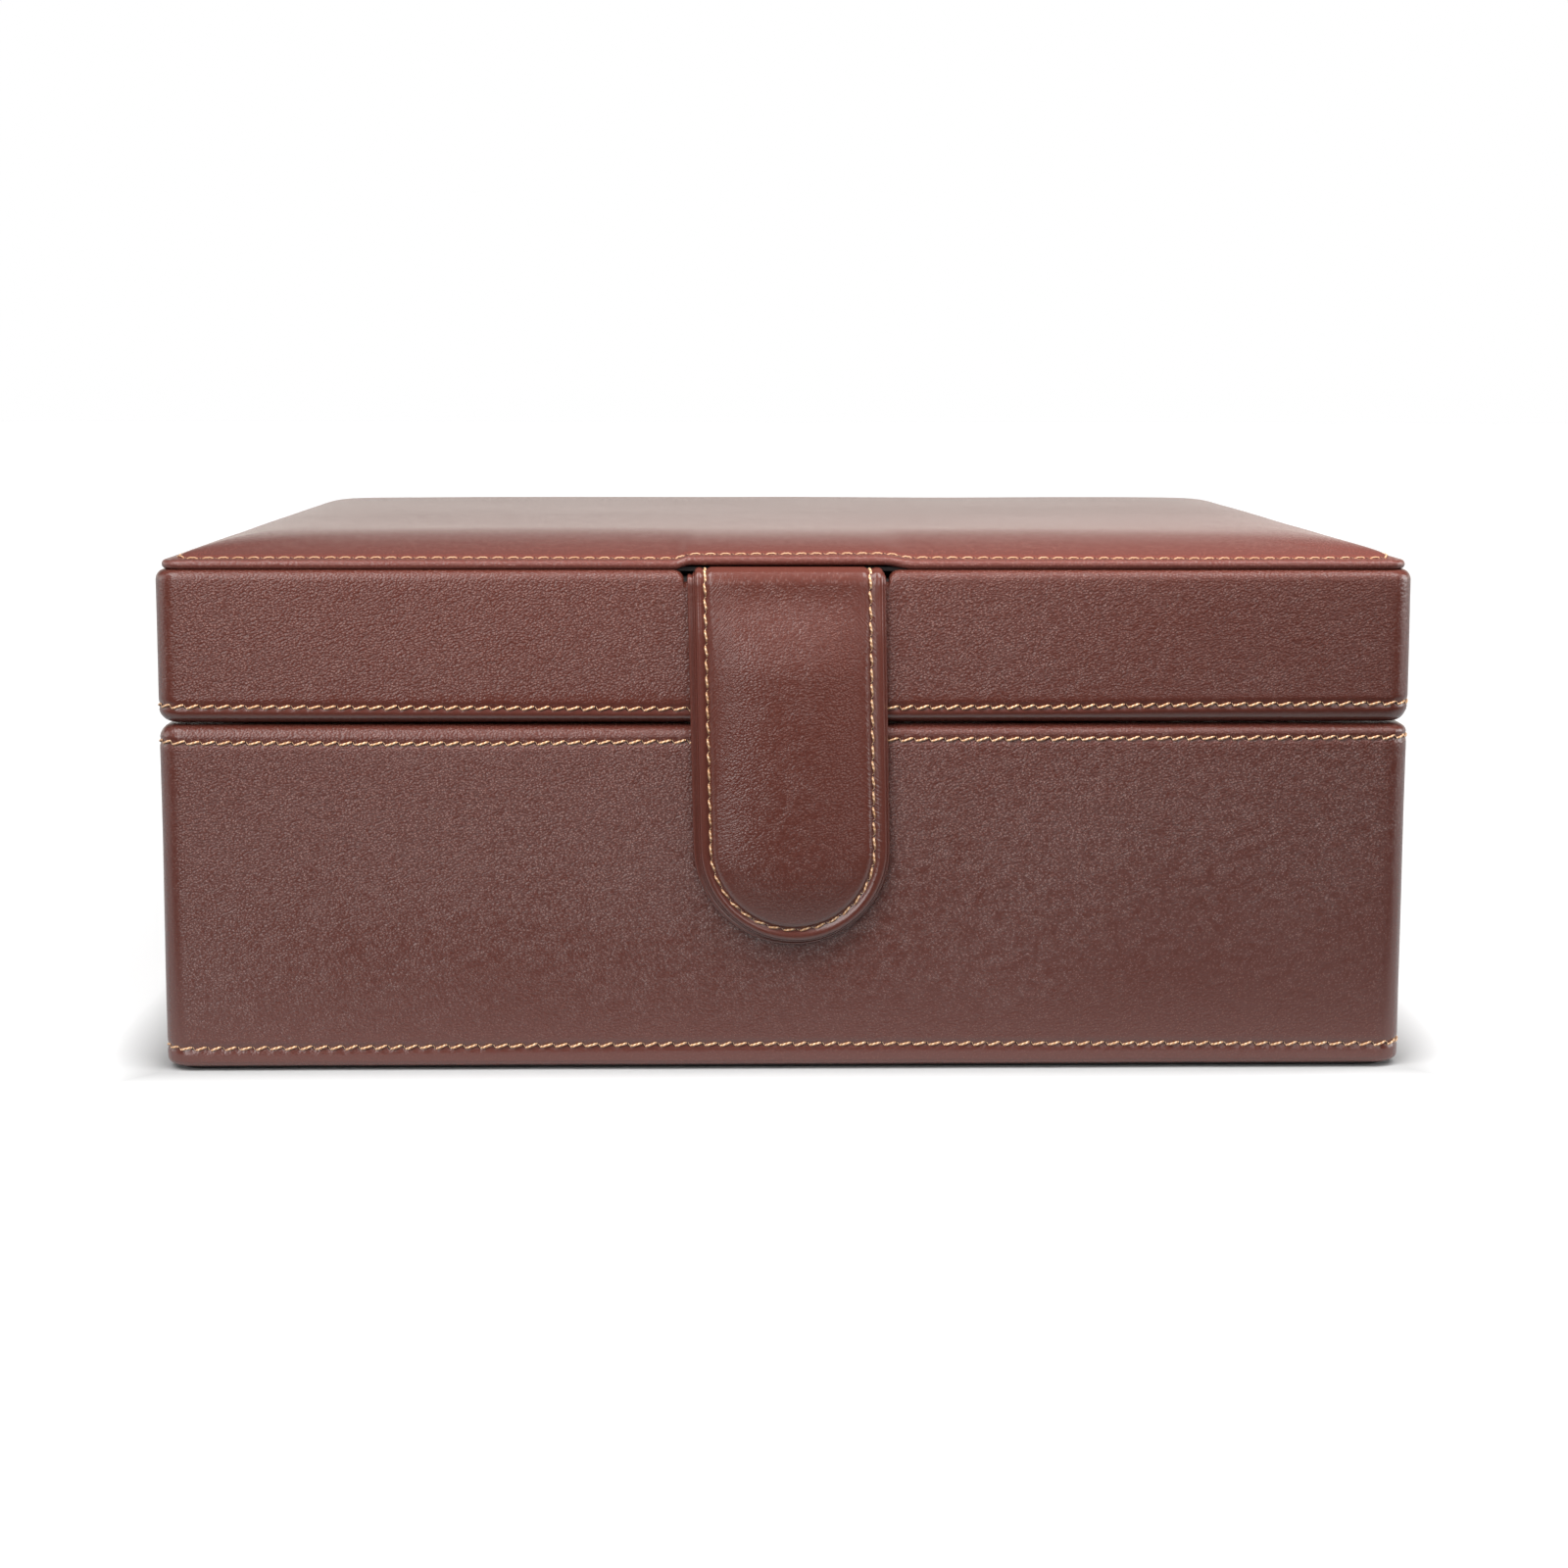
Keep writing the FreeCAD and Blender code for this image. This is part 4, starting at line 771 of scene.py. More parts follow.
# Turned steel: a cool grey metal with light scuffs.
steel, tree = new_material("plain_steel")
place = add(tree, "ShaderNodeTexCoord")
scuff = add(tree, "ShaderNodeTexNoise", {"Vector": place.outputs["Object"], "Scale": 1 / SCUFF_SIZE})
gloss = add(tree, "ShaderNodeMapRange", {"Value": scuff.outputs["Fac"], "To Min": 0.3, "To Max": 0.5})
skin = add(tree, "ShaderNodeBsdfPrincipled", {"Base Color": srgb(STEEL_COLOUR), "Metallic": 1.0,
           "Roughness": gloss})
add(tree, "ShaderNodeOutputMaterial", {"Surface": skin})
coat(steel, "base_keeper_disc", "tab_magnet", "hinge_left_pin", "hinge_right_pin")


# Hinges
# Two small butt hinges of drawn brass are screwed to the back rims. The leaves are brushed along
# their length, and the barrels turn on steel pins.

BRASS_COLOUR = "C9A25E"
BRUSH_ALONG = 14 * MM
BRUSH_ACROSS = 0.22 * MM

# Brushed brass: a warm gold metal whose shine is drawn out along the brush lines.
brass, tree = new_material("brushed_brass")
place = add(tree, "ShaderNodeTexCoord")
lines = add(tree, "ShaderNodeMapping", {"Vector": place.outputs["Object"],
            "Scale": (BRUSH_ALONG, BRUSH_ACROSS, BRUSH_ACROSS)}, vector_type="TEXTURE")
lines = add(tree, "ShaderNodeTexNoise", {"Vector": lines, "Scale": 1.0, "Detail": 2.0})
gloss = add(tree, "ShaderNodeMapRange", {"Value": lines.outputs["Fac"], "To Min": 0.2, "To Max": 0.45})
skin = add(tree, "ShaderNodeBsdfPrincipled", {"Base Color": srgb(BRASS_COLOUR), "Metallic": 1.0,
           "Roughness": gloss})
add(tree, "ShaderNodeOutputMaterial", {"Surface": skin})
coat(brass, "hinge_left_base_leaf", "hinge_right_base_leaf", "hinge_left_lid_leaf", "hinge_right_lid_leaf")
coat(brass, "hinge_base_screws", "hinge_lid_screws")


# Lid leather wrap
# A second band of the same hide covers the lid walls, turned in at the rim and over the top edge,
# where it shows as a roll under the panel. One stitch row follows its rim.

LID_RIM = 74.65 * MM
LID_TOP = 106.9 * MM
LID_TOP_ROLL = 2.2 * MM
LID_ROWS = [(78.1 * MM, [(-124, 0.1), (-62, -0.2), (-25, -0.4), (61, 0.0), (82, 0.35), (124, 0.65)])]
TAB_MIDDLE = 0.0 * MM
TAB_HALF = 20.75 * MM
SHOULDER_GAP = 0.7 * MM
SHOULDER = 2.3 * MM
SHOULDER_REACH = 2.5
TONGUE_FLOOR = 105.0 * MM

recess_edge = TAB_HALF + SHOULDER_GAP
shoulder_steps = recess_edge + SHOULDER * (1 - np.cos(np.linspace(0, math.pi / 2, ROLL_POINTS)))
shoulder_steps = np.concatenate([TAB_MIDDLE - shoulder_steps, TAB_MIDDLE + shoulder_steps])
lid_stations = ring_stations(*CASE, STATION_STEP, shoulder_steps)
lid_along = lengths(ring(lid_stations, *CASE, 0))
lid_profile = band_profile(LID_RIM, LID_TOP, LID_ROWS, EDGE_ROLL, LID_TOP_ROLL, [(WALL, LID_RIM)])
lid_wrap, shape = sweep("lid_wrap", lid_profile, lid_stations, CASE, band_leather)
# Below its stitch row the lid's grain is weak, so the lip there is painted darker as shade.
lid_grain = [(77.6 * MM, 0.12), (79 * MM, 0.3), (81.5 * MM, 1.0), (104 * MM, 1.0), (106 * MM, 0.6)]
settle_band(lid_wrap, shape, lid_stations, LID_ROWS, lid_along, lid_grain)
clear_hinges(lid_wrap, above=False)
for vertex in lid_wrap.data.vertices:
    short = SHOULDER + recess_edge - abs(vertex.co.x - TAB_MIDDLE)
    if short > 0 and vertex.co.y < 0:
        drop = SHOULDER - math.sqrt(SHOULDER ** 2 - min(short, SHOULDER) ** 2)
        share = soft_step(vertex.co.z, LID_TOP - SHOULDER_REACH * SHOULDER, LID_TOP)
        vertex.co.z -= drop * share
        if short > SHOULDER:
            vertex.co.z = min(vertex.co.z, TONGUE_FLOOR)
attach(lid_wrap, "lid")
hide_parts("lid_leather_wrap")

lid_stitching = sew("lid_stitching", *band_rows(LID_ROWS, case_stations), case_stitches, True, seed=5)
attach(lid_stitching, "lid")


# Lid lining
# Strips of the same suede line the lid walls, and a foam pad covered in it is glued under the lid top.
# The pad is fullest in the middle and falls away to its edges.

LID_PAD_LOW = 97.6 * MM
LID_PAD_HIGH = 101.6 * MM
LID_PAD_STEP = 3 * MM
LID_PAD_EDGE = 22 * MM
LID_PAD_DROP = 3.2 * MM
coat(suede, "lid_front_lining", "lid_back_lining", "lid_left_lining", "lid_right_lining")
pad_low, pad_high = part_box("lid_pad_lining")
lid_pad = pillow("lid_pad", pad_low[:2], pad_high[:2], -LID_PAD_HIGH, -LID_PAD_LOW, LID_PAD_STEP,
                 LID_PAD_EDGE, LID_PAD_DROP, suede)
for vertex in lid_pad.data.vertices:
    vertex.co.z = -vertex.co.z
lid_pad.data.flip_normals()
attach(lid_pad, "lid")
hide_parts("lid_pad_lining")


# Top panel
# The lid carries a padded panel: calf drawn over shaped foam and a thin board, turned under at a round
# edge and sewn round its border. Its front edge rides up a little over the tab.

PANEL_HALF = (131.1 * MM, 103.6 * MM)
PANEL_CORNER = 4.6 * MM
PANEL_EDGE = 2.0 * MM
PANEL_ROW = 3.3 * MM
CROWN_START = 1.2 * MM
CROWN_RUN = 34 * MM
CROWN_RISE = 4.6 * MM
CROWN_CORNER = 30 * MM
CROWN_FULL = 2.0
SIDE_FULL = 1.6
PANEL_GROOVE = 0.28 * MM
PANEL_LIFT = 0.9 * MM
LIFT_LEFT = (-23.4 * MM, -20.2 * MM)
LIFT_RIGHT = (20.4 * MM, 26.8 * MM)
LIFT_BACK = 34 * MM
PANEL_STEP = 1.1 * MM
# How far in from the edge the rings of the panel lie: those under its edge, and those of its face, by
# the mm.
PANEL_UNDER = (8, 4)
PANEL_FACE = (1.3, 1.7, 2.1, 2.4, 2.7, 2.9, 3.1, 3.3, 3.5, 3.7, 3.9, 4.2, 4.6, 5.2, 6, 7, 8.5, 10, 12, 14.5,
              17, 20, 23, 26, 29, 32, 35.2, 40, 46, 53, 61, 70, 80, 90, 98)
EDGE_POINTS = 13
CORNER_LEAST = 0.3 * MM
CORNER_ROOM = 0.5 * MM
PANEL_WAVE = 48 * MM
PANEL_WAVE_DEPTH = 0.2 * MM
PANEL_GRAIN = [(2.4 * MM, 0.45), (3.4 * MM, 0.12), (8 * MM, 0.3)]
PANEL_LIT_COLOUR = "653730"
PANEL_GLOSS = (0.18, 0.26)
PANEL_SLANT = 0.4 * MM
PANEL_THREAD = 0.16 * MM
PANEL_STITCH = 2.95 * MM
ROW_LEAN = 0.3

# The panel is of the same calf as the bands, drawn in a brighter colour: painted light, for it faces up to
# the lamps.
panel_leather_lit = calf("pebbled_calf_panel_lit", "Object", PANEL_GLOSS, PANEL_LIT_COLOUR)


def panel_crown(inset, side):
    """How high the padding stands at a distance in from the edge. It fills faster at the sides (1) than at
    the front (0)."""
    short = 1 - np.clip((inset - CROWN_START) / CROWN_RUN, 0, 1)
    return CROWN_RISE * (1 - short ** (CROWN_FULL + SIDE_FULL * side))


def panel_groove(inset):
    """How far the stitch row draws the face down."""
    return PANEL_GROOVE * np.exp(-((inset - PANEL_ROW) / GROOVE_SPREAD) ** 2)


def panel_lift(points):
    """How far the tab lifts the panel there."""
    across = soft_step(points[..., 0], *LIFT_LEFT) - soft_step(points[..., 0], *LIFT_RIGHT)
    back = 1 - soft_step(points[..., 1] + PANEL_HALF[1], 0, LIFT_BACK)
    return PANEL_LIFT * across * back


half_edge = PANEL_EDGE / 2
turns = np.linspace(-math.pi / 2, math.pi / 2, EDGE_POINTS)
levels = [(inset * MM, 0.0) for inset in PANEL_UNDER]
levels += [(half_edge * (1 - math.cos(t)), half_edge * (1 + math.sin(t))) for t in turns]
first_waved = len(levels) - 1
levels += [(inset * MM, PANEL_EDGE) for inset in PANEL_FACE]
panel_stations = ring_stations(*PANEL_HALF, PANEL_CORNER, PANEL_STEP)
panel_lean = panel_stations[1]
inner = np.array(PANEL_HALF) - PANEL_CORNER
panel_points = []
for inset, height in levels:
    share = min(1, max(0, (inset - CROWN_START) / CROWN_RUN))
    radius = max(PANEL_CORNER - inset, CORNER_LEAST) + CROWN_CORNER * share
    half = np.array(PANEL_HALF) - inset
    radius = min(radius, half[1] - CORNER_ROOM)
    flat = panel_stations[0] / inner * (half - radius) + panel_lean * radius
    crown = panel_crown(inset, panel_lean[:, 0] ** 2) - panel_groove(inset)
    rise = height + crown if height >= PANEL_EDGE else np.full(len(flat), height)
    panel_points.append(np.column_stack([flat, LID_TOP + rise]))
panel_points = np.array(panel_points)
panel_points[:, :, 2] += panel_lift(panel_points)
for points in panel_points[first_waved:]:
    points[:, 2] += [ripple(p, PANEL_WAVE, PANEL_WAVE_DEPTH) - PANEL_WAVE_DEPTH / 2 for p in points]
number = np.arange(panel_points.shape[0] * panel_points.shape[1]).reshape(panel_points.shape[:2])
faces = [*quads(np.hstack([number, number[:, :1]])), number[0, ::-1], number[-1]]
top_panel = piece("top_panel", panel_points.reshape(-1, 3), faces, panel_leather_lit)
insets = np.array([inset for inset, height in levels])
mark(top_panel, "grain", np.repeat(np.interp(insets, *np.array(PANEL_GRAIN).T), panel_points.shape[1]))
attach(top_panel, "lid")
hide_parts("top_panel_leather", "top_panel_foam")

row_level = int(np.argmin(np.abs(insets - PANEL_ROW)))
row_line = panel_points[row_level]
row_out = np.column_stack([panel_lean * ROW_LEAN, np.ones(len(row_line))])
row_stitches = stitch_count(lengths(row_line)[-1])
panel_stitching = sew("top_panel_stitching", [row_line], [row_out], row_stitches, True, seed=7,
                      slant=PANEL_SLANT, radius=PANEL_THREAD, length=PANEL_STITCH)
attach(panel_stitching, "lid")


# Tab
# The closing tab is a padded tongue of the same calf, backed with plain leather and sewn round its edge.
# It comes out from under the panel, bends down over the lid and hangs to its magnet on the base.

TAB_BACK = -105.4 * MM
TAB_TIP = 27.5 * MM
TAB_BEND = 0.7 * MM
TAB_SHELF = 105.05 * MM
TONGUE_END = -72 * MM
TAB_ROW = 3.5 * MM
TAB_LEAN = 1.6 * MM
FACE_SLIDE = 0.45 * MM
TAB_THICK = 5.0 * MM
# The section: distance in from the edge, height over the back, and the share of the face's slide to the
# right.
TAB_SECTION = [(0.35, 0.0, 0.0), (0.05, 0.25, 0.0), (0.0, 0.55, 0.0), (0.06, 0.85, 0.0), (0.22, 1.05, 0.0),
               (0.42, 1.1, 0.2), (0.56, 0.94, 0.6), (0.66, 0.92, 1.0), (0.68, 1.22, 1.0), (0.74, 1.48, 1.0),
               (0.88, 1.64, 1.0), (1.02, 1.6, 1.0), (1.05, 1.75, 1.0), (1.07, 2.0, 1.0), (1.17, 2.3, 1.0),
               (1.45, 2.6, 0.9), (1.9, 2.78, 0.8), (2.4, 2.77, 0.6), (2.8, 2.62, 0.5), (3.1, 2.42, 0.4),
               (3.35, 2.28, 0.4), (3.5, 2.25, 0.4), (3.65, 2.28, 0.4), (3.9, 2.42, 0.4), (4.2, 2.64, 0.4),
               (4.7, 2.92, 0.4)]
TAB_FACE = [5.2, 5.8, 6.5, 7.3, 8.2, 9.4, 10.8, 12.3, 14, 15.8, 17.6, 19.3, 20.7]
FACE_HEIGHT = 2.92 * MM
# The place in the section at which the face begins, and the stitch row's height and share of the slide.
FACE_LEVEL = 15
ROW_HEIGHT = 2.25 * MM
ROW_SLIDE = 0.4
CROWN_FOOT = 3.9 * MM
TAB_CROWN_RUN = 14.5 * MM
TAB_CROWN_FULL = 2.2
TAB_BACK_INSETS = (20.7, 14, 8, 4, 1.2)
# Stations along the tongue, over the bend, down each side and round the tip.
BEND_REACH = 4 * MM
TONGUE_STATIONS = 40
BEND_STATIONS = 24
SIDE_STATIONS = 100
TIP_STATIONS = 120
# How the strap is pared: at the bend, and under the panel, with the stretches before or after the bend.
PARED_AT_BEND = 0.14
BEND_PARING = (-12 * MM, -2 * MM)
PARED_UNDER = 0.3
UNDER_PARING = (2 * MM, 14 * MM)
PADDING_END = (-20 * MM, -2 * MM)
# The grain at the strap's edge and how much it gains on the face, and where it is stretched smooth over
# the bend.
EDGE_GRAIN = 0.1
FACE_GRAIN = 0.5
GRAIN_RISE = (3.6 * MM, 9 * MM)
SMOOTH_BEND = (-0.8 * MM, 1.2 * MM)
# The creases drawn in from the stitches: where they start and end in from the edge, their slope, width
# and length.
PULL_LEFT = (3.5 * MM, 12.5 * MM)
PULL_RIGHT = (1.9 * MM, 9 * MM)
PULL_RISE = 0.5 * MM
PULL_FALL = 6 * MM
PULL_FROM_TIP = (8 * MM, 30 * MM)
CREASE_SLOPE = (0.35, 0.85)
CREASE_TURN = (25 * MM, 52 * MM)
CREASE_WIDE = 0.38 * MM
CREASE_LONG = 4 * MM
TAB_SLANT = 0.45 * MM
TAB_STITCH = 2.8 * MM
ROW_PAST_BEND = 6 * MM


def tab_crown(inset):
    """How much the padding swells the face at a distance in from its edge."""
    short = 1 - np.clip((inset - CROWN_FOOT) / TAB_CROWN_RUN, 0, 1)
    return (TAB_THICK - FACE_HEIGHT) * (1 - short ** TAB_CROWN_FULL)


tab_rise = TAB_SHELF - TAB_BEND - TAB_TIP
tab_length = tab_rise + TAB_BEND * math.pi / 2 + (TONGUE_END - TAB_BACK - TAB_BEND)


def tab_place(x, along, height):
    """Where a point of the flat tab comes to lie, and which way its face looks there."""
    turn = np.clip((along - tab_rise) / TAB_BEND, 0, math.pi / 2)
    out = np.stack([np.zeros_like(turn), -np.cos(turn), np.sin(turn)], -1)
    back = np.maximum(along - tab_rise - TAB_BEND * math.pi / 2, 0)
    up = np.minimum(along, tab_rise)
    lean = TAB_LEAN * np.clip(1 - along / tab_rise, 0, 1)
    base = np.stack([TAB_MIDDLE + lean + x, TAB_BACK + TAB_BEND * (1 - np.cos(turn)) + back,
                     TAB_TIP + up + TAB_BEND * np.sin(turn)], -1)
    return base + out * height[..., None], out


def tab_line(inset):
    """The tab's outline moved in by inset, from the tongue's left end round the tip: across and along."""
    over, under = tab_rise + BEND_REACH, tab_rise - BEND_REACH
    straight = np.concatenate([np.linspace(tab_length, over, TONGUE_STATIONS)[:-1],
                               np.linspace(over, under, BEND_STATIONS)[:-1],
                               np.linspace(under, TAB_HALF, SIDE_STATIONS)[:-1]])
    turn = np.linspace(math.pi, 2 * math.pi, TIP_STATIONS)
    reach = TAB_HALF - inset
    left = np.column_stack([np.full(len(straight), -reach), straight])
    round_end = np.column_stack([reach * np.cos(turn), TAB_HALF + reach * np.sin(turn)])
    right = np.column_stack([np.full(len(straight), reach), straight[::-1]])
    return np.concatenate([left, round_end, right])


def tab_thin(along):
    """The share of its thickness that the strap keeps, pared down at the bend and more under the panel."""
    past = along - tab_rise
    return 1 - PARED_AT_BEND * soft_step(past, *BEND_PARING) - PARED_UNDER * soft_step(past, *UNDER_PARING)


def tab_full(along):
    """The share of its padding that the strap keeps, which ends short of the bend."""
    return 1 - soft_step(along - tab_rise, *PADDING_END)


tab_levels = [(inset, 0.0, 0.0) for inset in TAB_BACK_INSETS]
back_levels = len(tab_levels)
tab_levels += TAB_SECTION + [(inset, FACE_HEIGHT / MM, ROW_SLIDE) for inset in TAB_FACE]
tab_insets = np.array([inset * MM for inset, height, slide in tab_levels])
tab_points = []
tab_flat = []
for level, (inset, height, slide) in enumerate(tab_levels):
    line = tab_line(inset * MM)
    crown = tab_crown(inset * MM) if level >= back_levels else 0.0
    stand = height * MM * tab_thin(line[:, 1]) + crown * tab_full(line[:, 1])
    tab_points.append(tab_place(line[:, 0] + slide * FACE_SLIDE, line[:, 1], stand)[0])
    tab_flat.append(line)
tab_points = np.array(tab_points)
tab_flat = np.array(tab_flat)
count = tab_points.shape[1]
number = np.arange(tab_points.shape[0] * count).reshape(tab_points.shape[:2])
faces = [*quads(number)]
for level in (0, -1):
    half = count // 2
    left = number[level, :half]
    right = number[level, ::-1][:half]
    seam = [[left[at], left[at + 1], right[at + 1], right[at]] for at in range(half - 1)]
    faces += [face[::-1] if level == 0 else face for face in seam]
tongue_end = np.column_stack([number[:, 0], number[:, -1]])
faces += [[b[0], b[1], a[1], a[0]] for a, b in zip(tongue_end[:-1], tongue_end[1:])]
tab_strap = piece("tab_strap", tab_points.reshape(-1, 3), faces, band_leather)
flat = tab_flat.reshape(-1, 2)
layer = tab_strap.data.uv_layers.new(name="UVMap")
corner = np.empty(len(tab_strap.data.loops), int)
tab_strap.data.loops.foreach_get("vertex_index", corner)
layer.data.foreach_set("uv", flat[corner].ravel())
inset = np.repeat(tab_insets, count)
on_face = np.repeat(np.arange(len(tab_insets)) >= back_levels + FACE_LEVEL, count)
smooth_bend = 1 - soft_step(flat[:, 1] - tab_rise, *SMOOTH_BEND)
grain = np.where(on_face, EDGE_GRAIN + FACE_GRAIN * soft_step(inset, *GRAIN_RISE), EDGE_GRAIN)
mark(tab_strap, "grain", grain * smooth_bend)
right = flat[:, 0] > 0
pull_start, pull_end = (np.where(right, *ends) for ends in zip(PULL_RIGHT, PULL_LEFT))
pull = soft_step(inset, pull_start, pull_start + PULL_RISE)
pull = pull * (1 - soft_step(inset, pull_end - PULL_FALL, pull_end)) * soft_step(flat[:, 1], *PULL_FROM_TIP)
mark(tab_strap, "pull", np.where(on_face, pull, 0) * smooth_bend)
slope = CREASE_SLOPE[0] + CREASE_SLOPE[1] * soft_step(flat[:, 1], *CREASE_TURN)
way = np.column_stack([(flat[:, 1] - slope * inset) / CREASE_WIDE, inset / CREASE_LONG,
                      np.sign(flat[:, 0])])
mark(tab_strap, "pull_way", way, "FLOAT_VECTOR")
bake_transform(tab_strap)
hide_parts("tab_face_leather", "tab_core", "tab_backing_leather", "tab_tongue")

line = tab_line(TAB_ROW)
line = line[line[:, 1] < tab_rise + ROW_PAST_BEND]
row_height = ROW_HEIGHT * tab_thin(line[:, 1])
row_points, row_out = tab_place(line[:, 0] + ROW_SLIDE * FACE_SLIDE, line[:, 1], row_height)
row_stitches = round(lengths(row_points, closed=False)[-1] / STITCH_PITCH)
tab_stitching = sew("tab_stitching", [row_points], [row_out], row_stitches, False, seed=9, slant=TAB_SLANT,
                    length=TAB_STITCH)
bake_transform(tab_stitching)


# Floor and light
# The case stands on a white paper sweep in a studio. Soft boxes stand left and right of the front, high and
# low, and at both sides. A bright wall glows low behind, and a long lamp hangs close over the front edge.

FLOOR_HALF = 6.0
FLOOR_WHITE = 0.40
FLOOR_NEAR = 0.55
FLOOR_FAR = 0.04
FLOOR_FADE = (0.003, 0.014)
FLOOR_SHINE = (0.01, 0.11)
FLOOR_GLOW = 0.64
PAINTED_SHADOW_REACH = (0.001, 0.017)
ROOM_LIGHT = 0.12
# Soft boxes: their left and right edge as an azimuth from the front, their low and high edge, and their
# strength.
BOXES = [((-40, -16), (-8, 44), 4.5), ((-85, -28), (44, 82), 5.0), ((15, 32), (-10, 36), 2.2),
         ((30, 80), (44, 80), 5.4), ((-112, -74), (-6, 30), 1.4), ((72, 108), (-6, 30), 4.4)]
BOX_SOFT = 5
WALL_EDGE = (math.sin(math.radians(22)), math.sin(math.radians(6)))
WALL_LIGHT = 0.95
WALL_COLOUR = (1.0, 0.96, 0.89, 1)
WALL_BACK = (-0.15, 0.35)
LAMP_PLACE = (0.03, -0.162, 0.205)
LAMP_AIM = (0, -0.09, 0.07)
LAMP_SIZE = (0.56, 0.06)
LAMP_LIGHT = 8.0

floor_mesh = bpy.data.meshes.new("floor")
floor_corners = [(-FLOOR_HALF, -FLOOR_HALF, 0), (FLOOR_HALF, -FLOOR_HALF, 0), (FLOOR_HALF, FLOOR_HALF, 0),
                 (-FLOOR_HALF, FLOOR_HALF, 0)]
floor_mesh.from_pydata(floor_corners, [], [(0, 1, 2, 3)])
floor = bpy.data.objects.new("floor", floor_mesh)
bpy.context.scene.collection.objects.link(floor)
# Matt white paper. To the camera it glows white, and the glow is taken away close to the case, which
# paints a contact shadow beside the real one. To the leather it is bright only near the case, so that
# little of it shows in the sheen.
white, tree = new_material("white_sweep")
path = add(tree, "ShaderNodeLightPath")
place = add(tree, "ShaderNodeTexCoord")
away = add(tree, "ShaderNodeVectorMath", {0: place.outputs["Object"]}, operation="ABSOLUTE")
away = add(tree, "ShaderNodeVectorMath", {0: away, 1: (HALF_WIDTH, HALF_DEPTH, 0)}, operation="SUBTRACT")
away = add(tree, "ShaderNodeSeparateXYZ", {0: away})
away = add(tree, "ShaderNodeMath", {0: away.outputs["X"], 1: away.outputs["Y"]}, operation="MAXIMUM")
before = add(tree, "ShaderNodeSeparateXYZ", {0: place.outputs["Object"]})
before = add(tree, "ShaderNodeMath", {0: -HALF_DEPTH, 1: before.outputs["Y"]}, operation="SUBTRACT")
reach = add(tree, "ShaderNodeMix", {"Factor": path.outputs["Is Glossy Ray"], "A": away, "B": before},
            data_type="FLOAT")
starts = add(tree, "ShaderNodeMix", {"Factor": path.outputs["Is Glossy Ray"], "A": FLOOR_FADE[0],
             "B": FLOOR_SHINE[0]}, data_type="FLOAT")
stops = add(tree, "ShaderNodeMix", {"Factor": path.outputs["Is Glossy Ray"], "A": FLOOR_FADE[1],
            "B": FLOOR_SHINE[1]}, data_type="FLOAT")
sheet = add(tree, "ShaderNodeMapRange", {"Value": reach.outputs["Result"],
            "From Min": starts.outputs["Result"], "From Max": stops.outputs["Result"], "To Min": FLOOR_NEAR,
            "To Max": FLOOR_FAR}, interpolation_type="SMOOTHSTEP")
level = add(tree, "ShaderNodeMix", {"Factor": path.outputs["Is Camera Ray"], "A": sheet, "B": FLOOR_WHITE},
            data_type="FLOAT")
matt = add(tree, "ShaderNodeBsdfDiffuse", {"Color": level.outputs["Result"]})
# Painted shadow: the camera's glow fades out towards the case.
glow = add(tree, "ShaderNodeMapRange", {"Value": away, "From Min": PAINTED_SHADOW_REACH[0], "From Max": PAINTED_SHADOW_REACH[1],
           "To Max": FLOOR_GLOW})
glow = add(tree, "ShaderNodeMath", {0: path.outputs["Is Camera Ray"], 1: glow}, operation="MULTIPLY")
glow = add(tree, "ShaderNodeEmission", {"Color": (1, 1, 1, 1), "Strength": glow})
lit = add(tree, "ShaderNodeAddShader", {0: matt, 1: glow})
add(tree, "ShaderNodeOutputMaterial", {"Surface": lit})
floor_mesh.materials.append(white)
floor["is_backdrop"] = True

world = bpy.data.worlds.new("studio")
world.use_nodes = True
room = world.node_tree
room.nodes.clear()
look = add(room, "ShaderNodeTexCoord").outputs["Generated"]
split = add(room, "ShaderNodeSeparateXYZ", {0: look})
front = add(room, "ShaderNodeMath", {0: split.outputs["Y"], 1: -1.0}, operation="MULTIPLY")
azimuth = add(room, "ShaderNodeMath", {0: split.outputs["X"], 1: front}, operation="ARCTAN2")
height = add(room, "ShaderNodeMath", {0: split.outputs["Z"]}, operation="ARCSINE")
light = ROOM_LIGHT
for (left, right), (low, high), strength in BOXES:
    part = strength
    edges = ((azimuth, left, 1), (azimuth, right, -1), (height, low, 1), (height, high, -1))
    for way, edge, inwards in edges:
        side = add(room, "ShaderNodeMapRange", {"Value": way,
                   "From Min": math.radians(edge - inwards * BOX_SOFT),
                   "From Max": math.radians(edge + inwards * BOX_SOFT)}, interpolation_type="SMOOTHSTEP")
        part = add(room, "ShaderNodeMath", {0: side, 1: part}, operation="MULTIPLY")
    light = add(room, "ShaderNodeMath", {0: part, 1: light})
behind = add(room, "ShaderNodeMapRange", {"Value": split.outputs["Y"], "From Min": WALL_BACK[0],
             "From Max": WALL_BACK[1]}, interpolation_type="SMOOTHSTEP")
low_down = add(room, "ShaderNodeMapRange", {"Value": split.outputs["Z"], "From Min": WALL_EDGE[0],
               "From Max": WALL_EDGE[1], "To Max": WALL_LIGHT}, interpolation_type="SMOOTHSTEP")
wall = add(room, "ShaderNodeMath", {0: behind, 1: low_down}, operation="MULTIPLY")
path = add(room, "ShaderNodeLightPath")
seen = add(room, "ShaderNodeMix", {"Factor": path.outputs["Is Camera Ray"], "A": light, "B": 1.0},
           data_type="FLOAT")
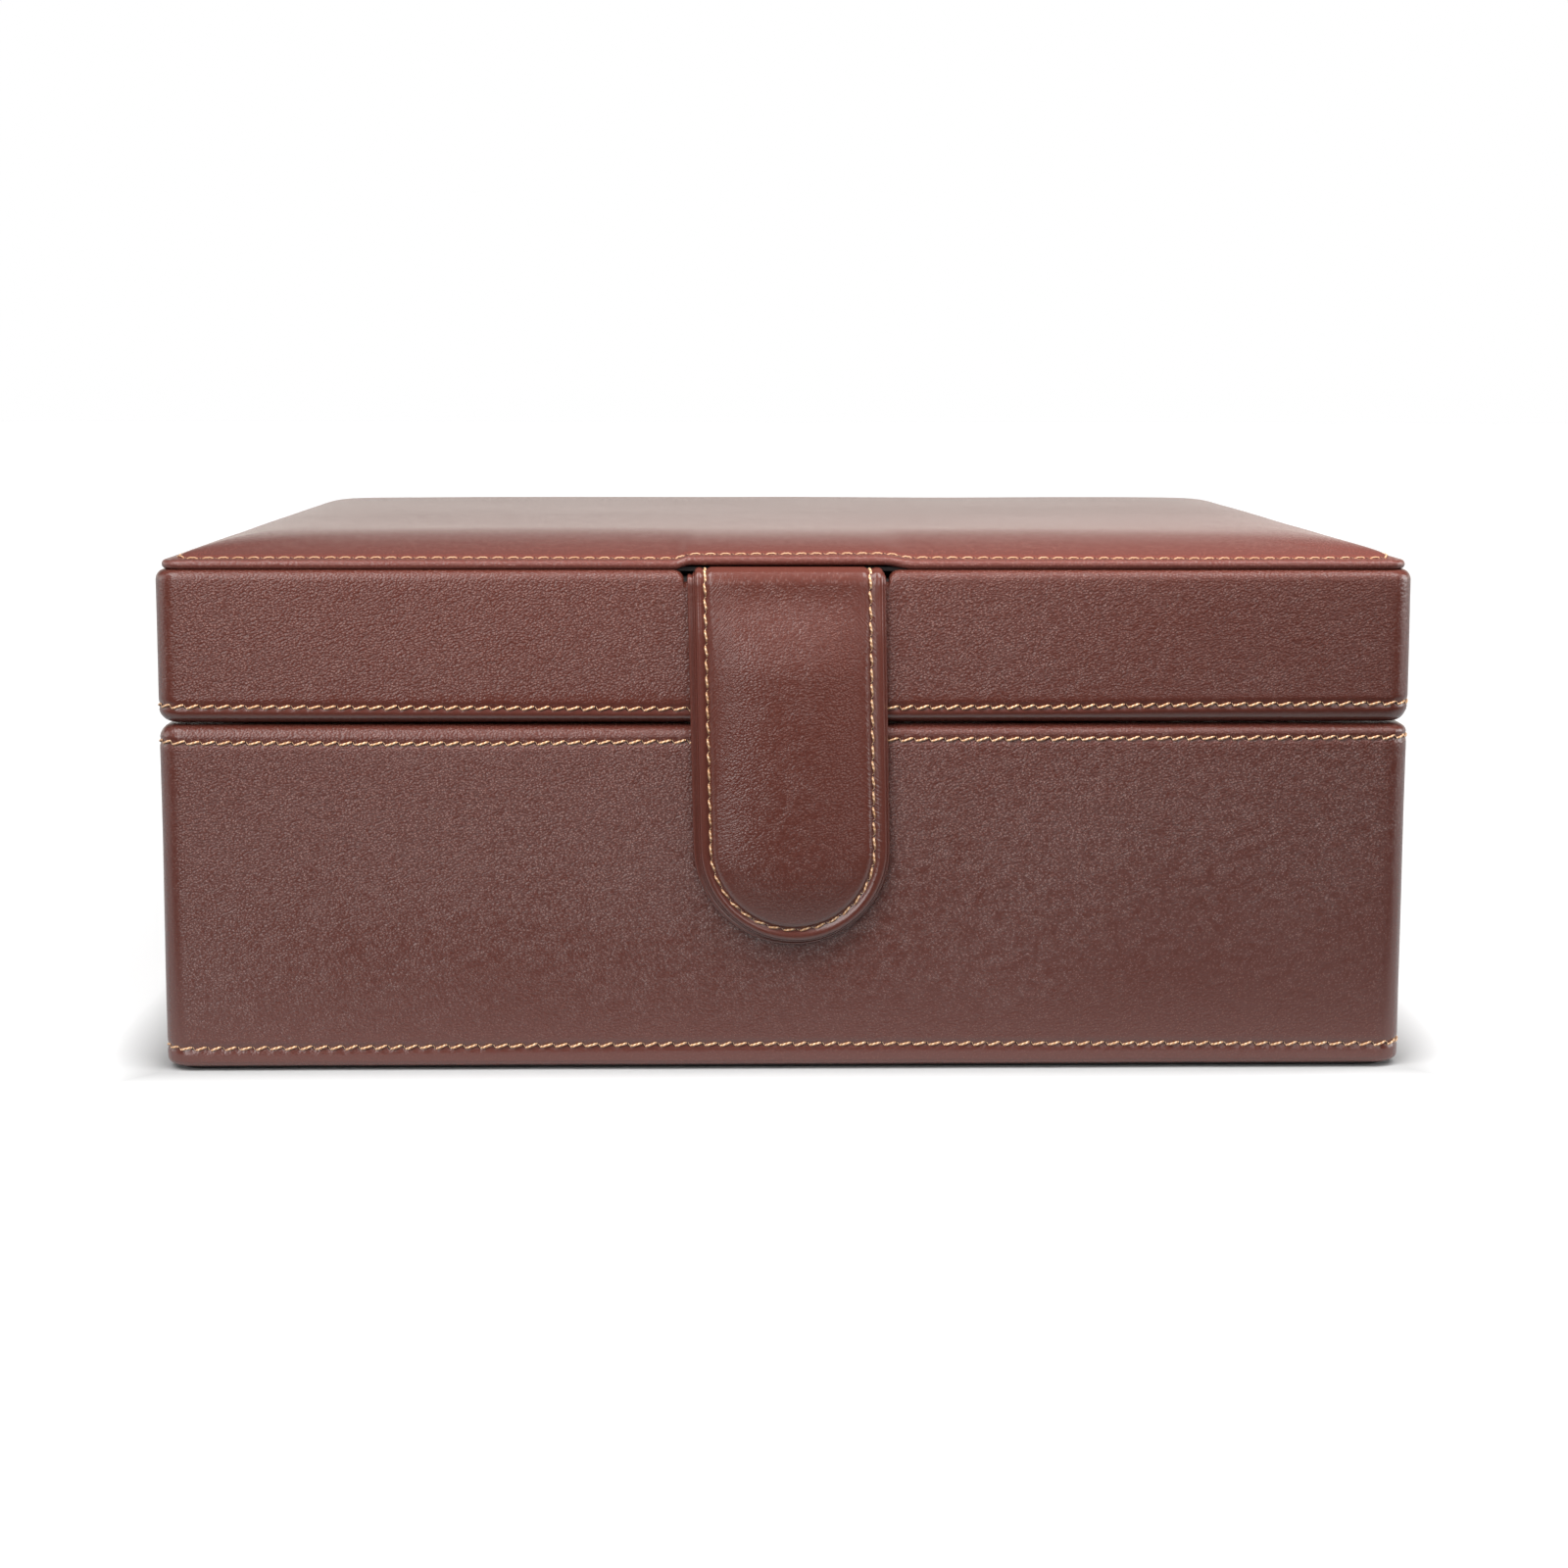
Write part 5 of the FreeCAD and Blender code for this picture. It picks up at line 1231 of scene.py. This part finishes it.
unseen = add(room, "ShaderNodeMix", {"Factor": path.outputs["Is Camera Ray"], "A": wall, "B": 0.0},
             data_type="FLOAT")
air = add(room, "ShaderNodeBackground", {"Color": (1, 1, 1, 1), "Strength": seen.outputs["Result"]})
warm = add(room, "ShaderNodeBackground", {"Color": WALL_COLOUR, "Strength": unseen.outputs["Result"]})
studio = add(room, "ShaderNodeAddShader", {0: air, 1: warm})
add(room, "ShaderNodeOutputWorld", {"Surface": studio})
bpy.context.scene.world = world

lamp = bpy.data.lights.new("front_lamp", "AREA")
lamp.shape = "RECTANGLE"
lamp.size, lamp.size_y = LAMP_SIZE
lamp.energy = LAMP_LIGHT * math.pi * LAMP_SIZE[0] * LAMP_SIZE[1]
front_lamp = bpy.data.objects.new("front_lamp", lamp)
front_lamp.location = LAMP_PLACE
front_lamp.rotation_euler = (Vector(LAMP_AIM) - Vector(LAMP_PLACE)).to_track_quat("-Z", "Y").to_euler()
front_lamp.visible_camera = False
front_lamp.visible_glossy = False
bpy.context.scene.collection.objects.link(front_lamp)


# Camera
# The view of the photo: a little above the lid and almost square to the front, turned a touch to the
# right, with the frame shifted down.

CAMERA_PLACE = Vector((-11.51, -657.3, 149.82)) * MM
CAMERA_TURN = math.radians(1.143)
CAMERA_DOWN = math.radians(6.940)
CAMERA_ROLL = math.radians(0.092)
SENSOR = 36
LENS = 60.86
SHIFT = -0.0625
NEAREST = 0.01
lens = bpy.data.cameras.new("photo_view")
lens.sensor_width = SENSOR
lens.lens = LENS
lens.shift_y = SHIFT
lens.clip_start = NEAREST
camera = bpy.data.objects.new("photo_view", lens)
aim = Matrix.Rotation(-CAMERA_TURN, 4, "Z") @ Matrix.Rotation(math.pi / 2 - CAMERA_DOWN, 4, "X")
aim = aim @ Matrix.Rotation(CAMERA_ROLL, 4, "Z")
camera.matrix_world = Matrix.Translation(CAMERA_PLACE) @ aim
bpy.context.scene.collection.objects.link(camera)
bpy.context.scene.camera = camera
bpy.context.scene.view_settings.view_transform = "Standard"


# Sizes
# The box of the finished model, in metres, without the floor.

low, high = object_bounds()
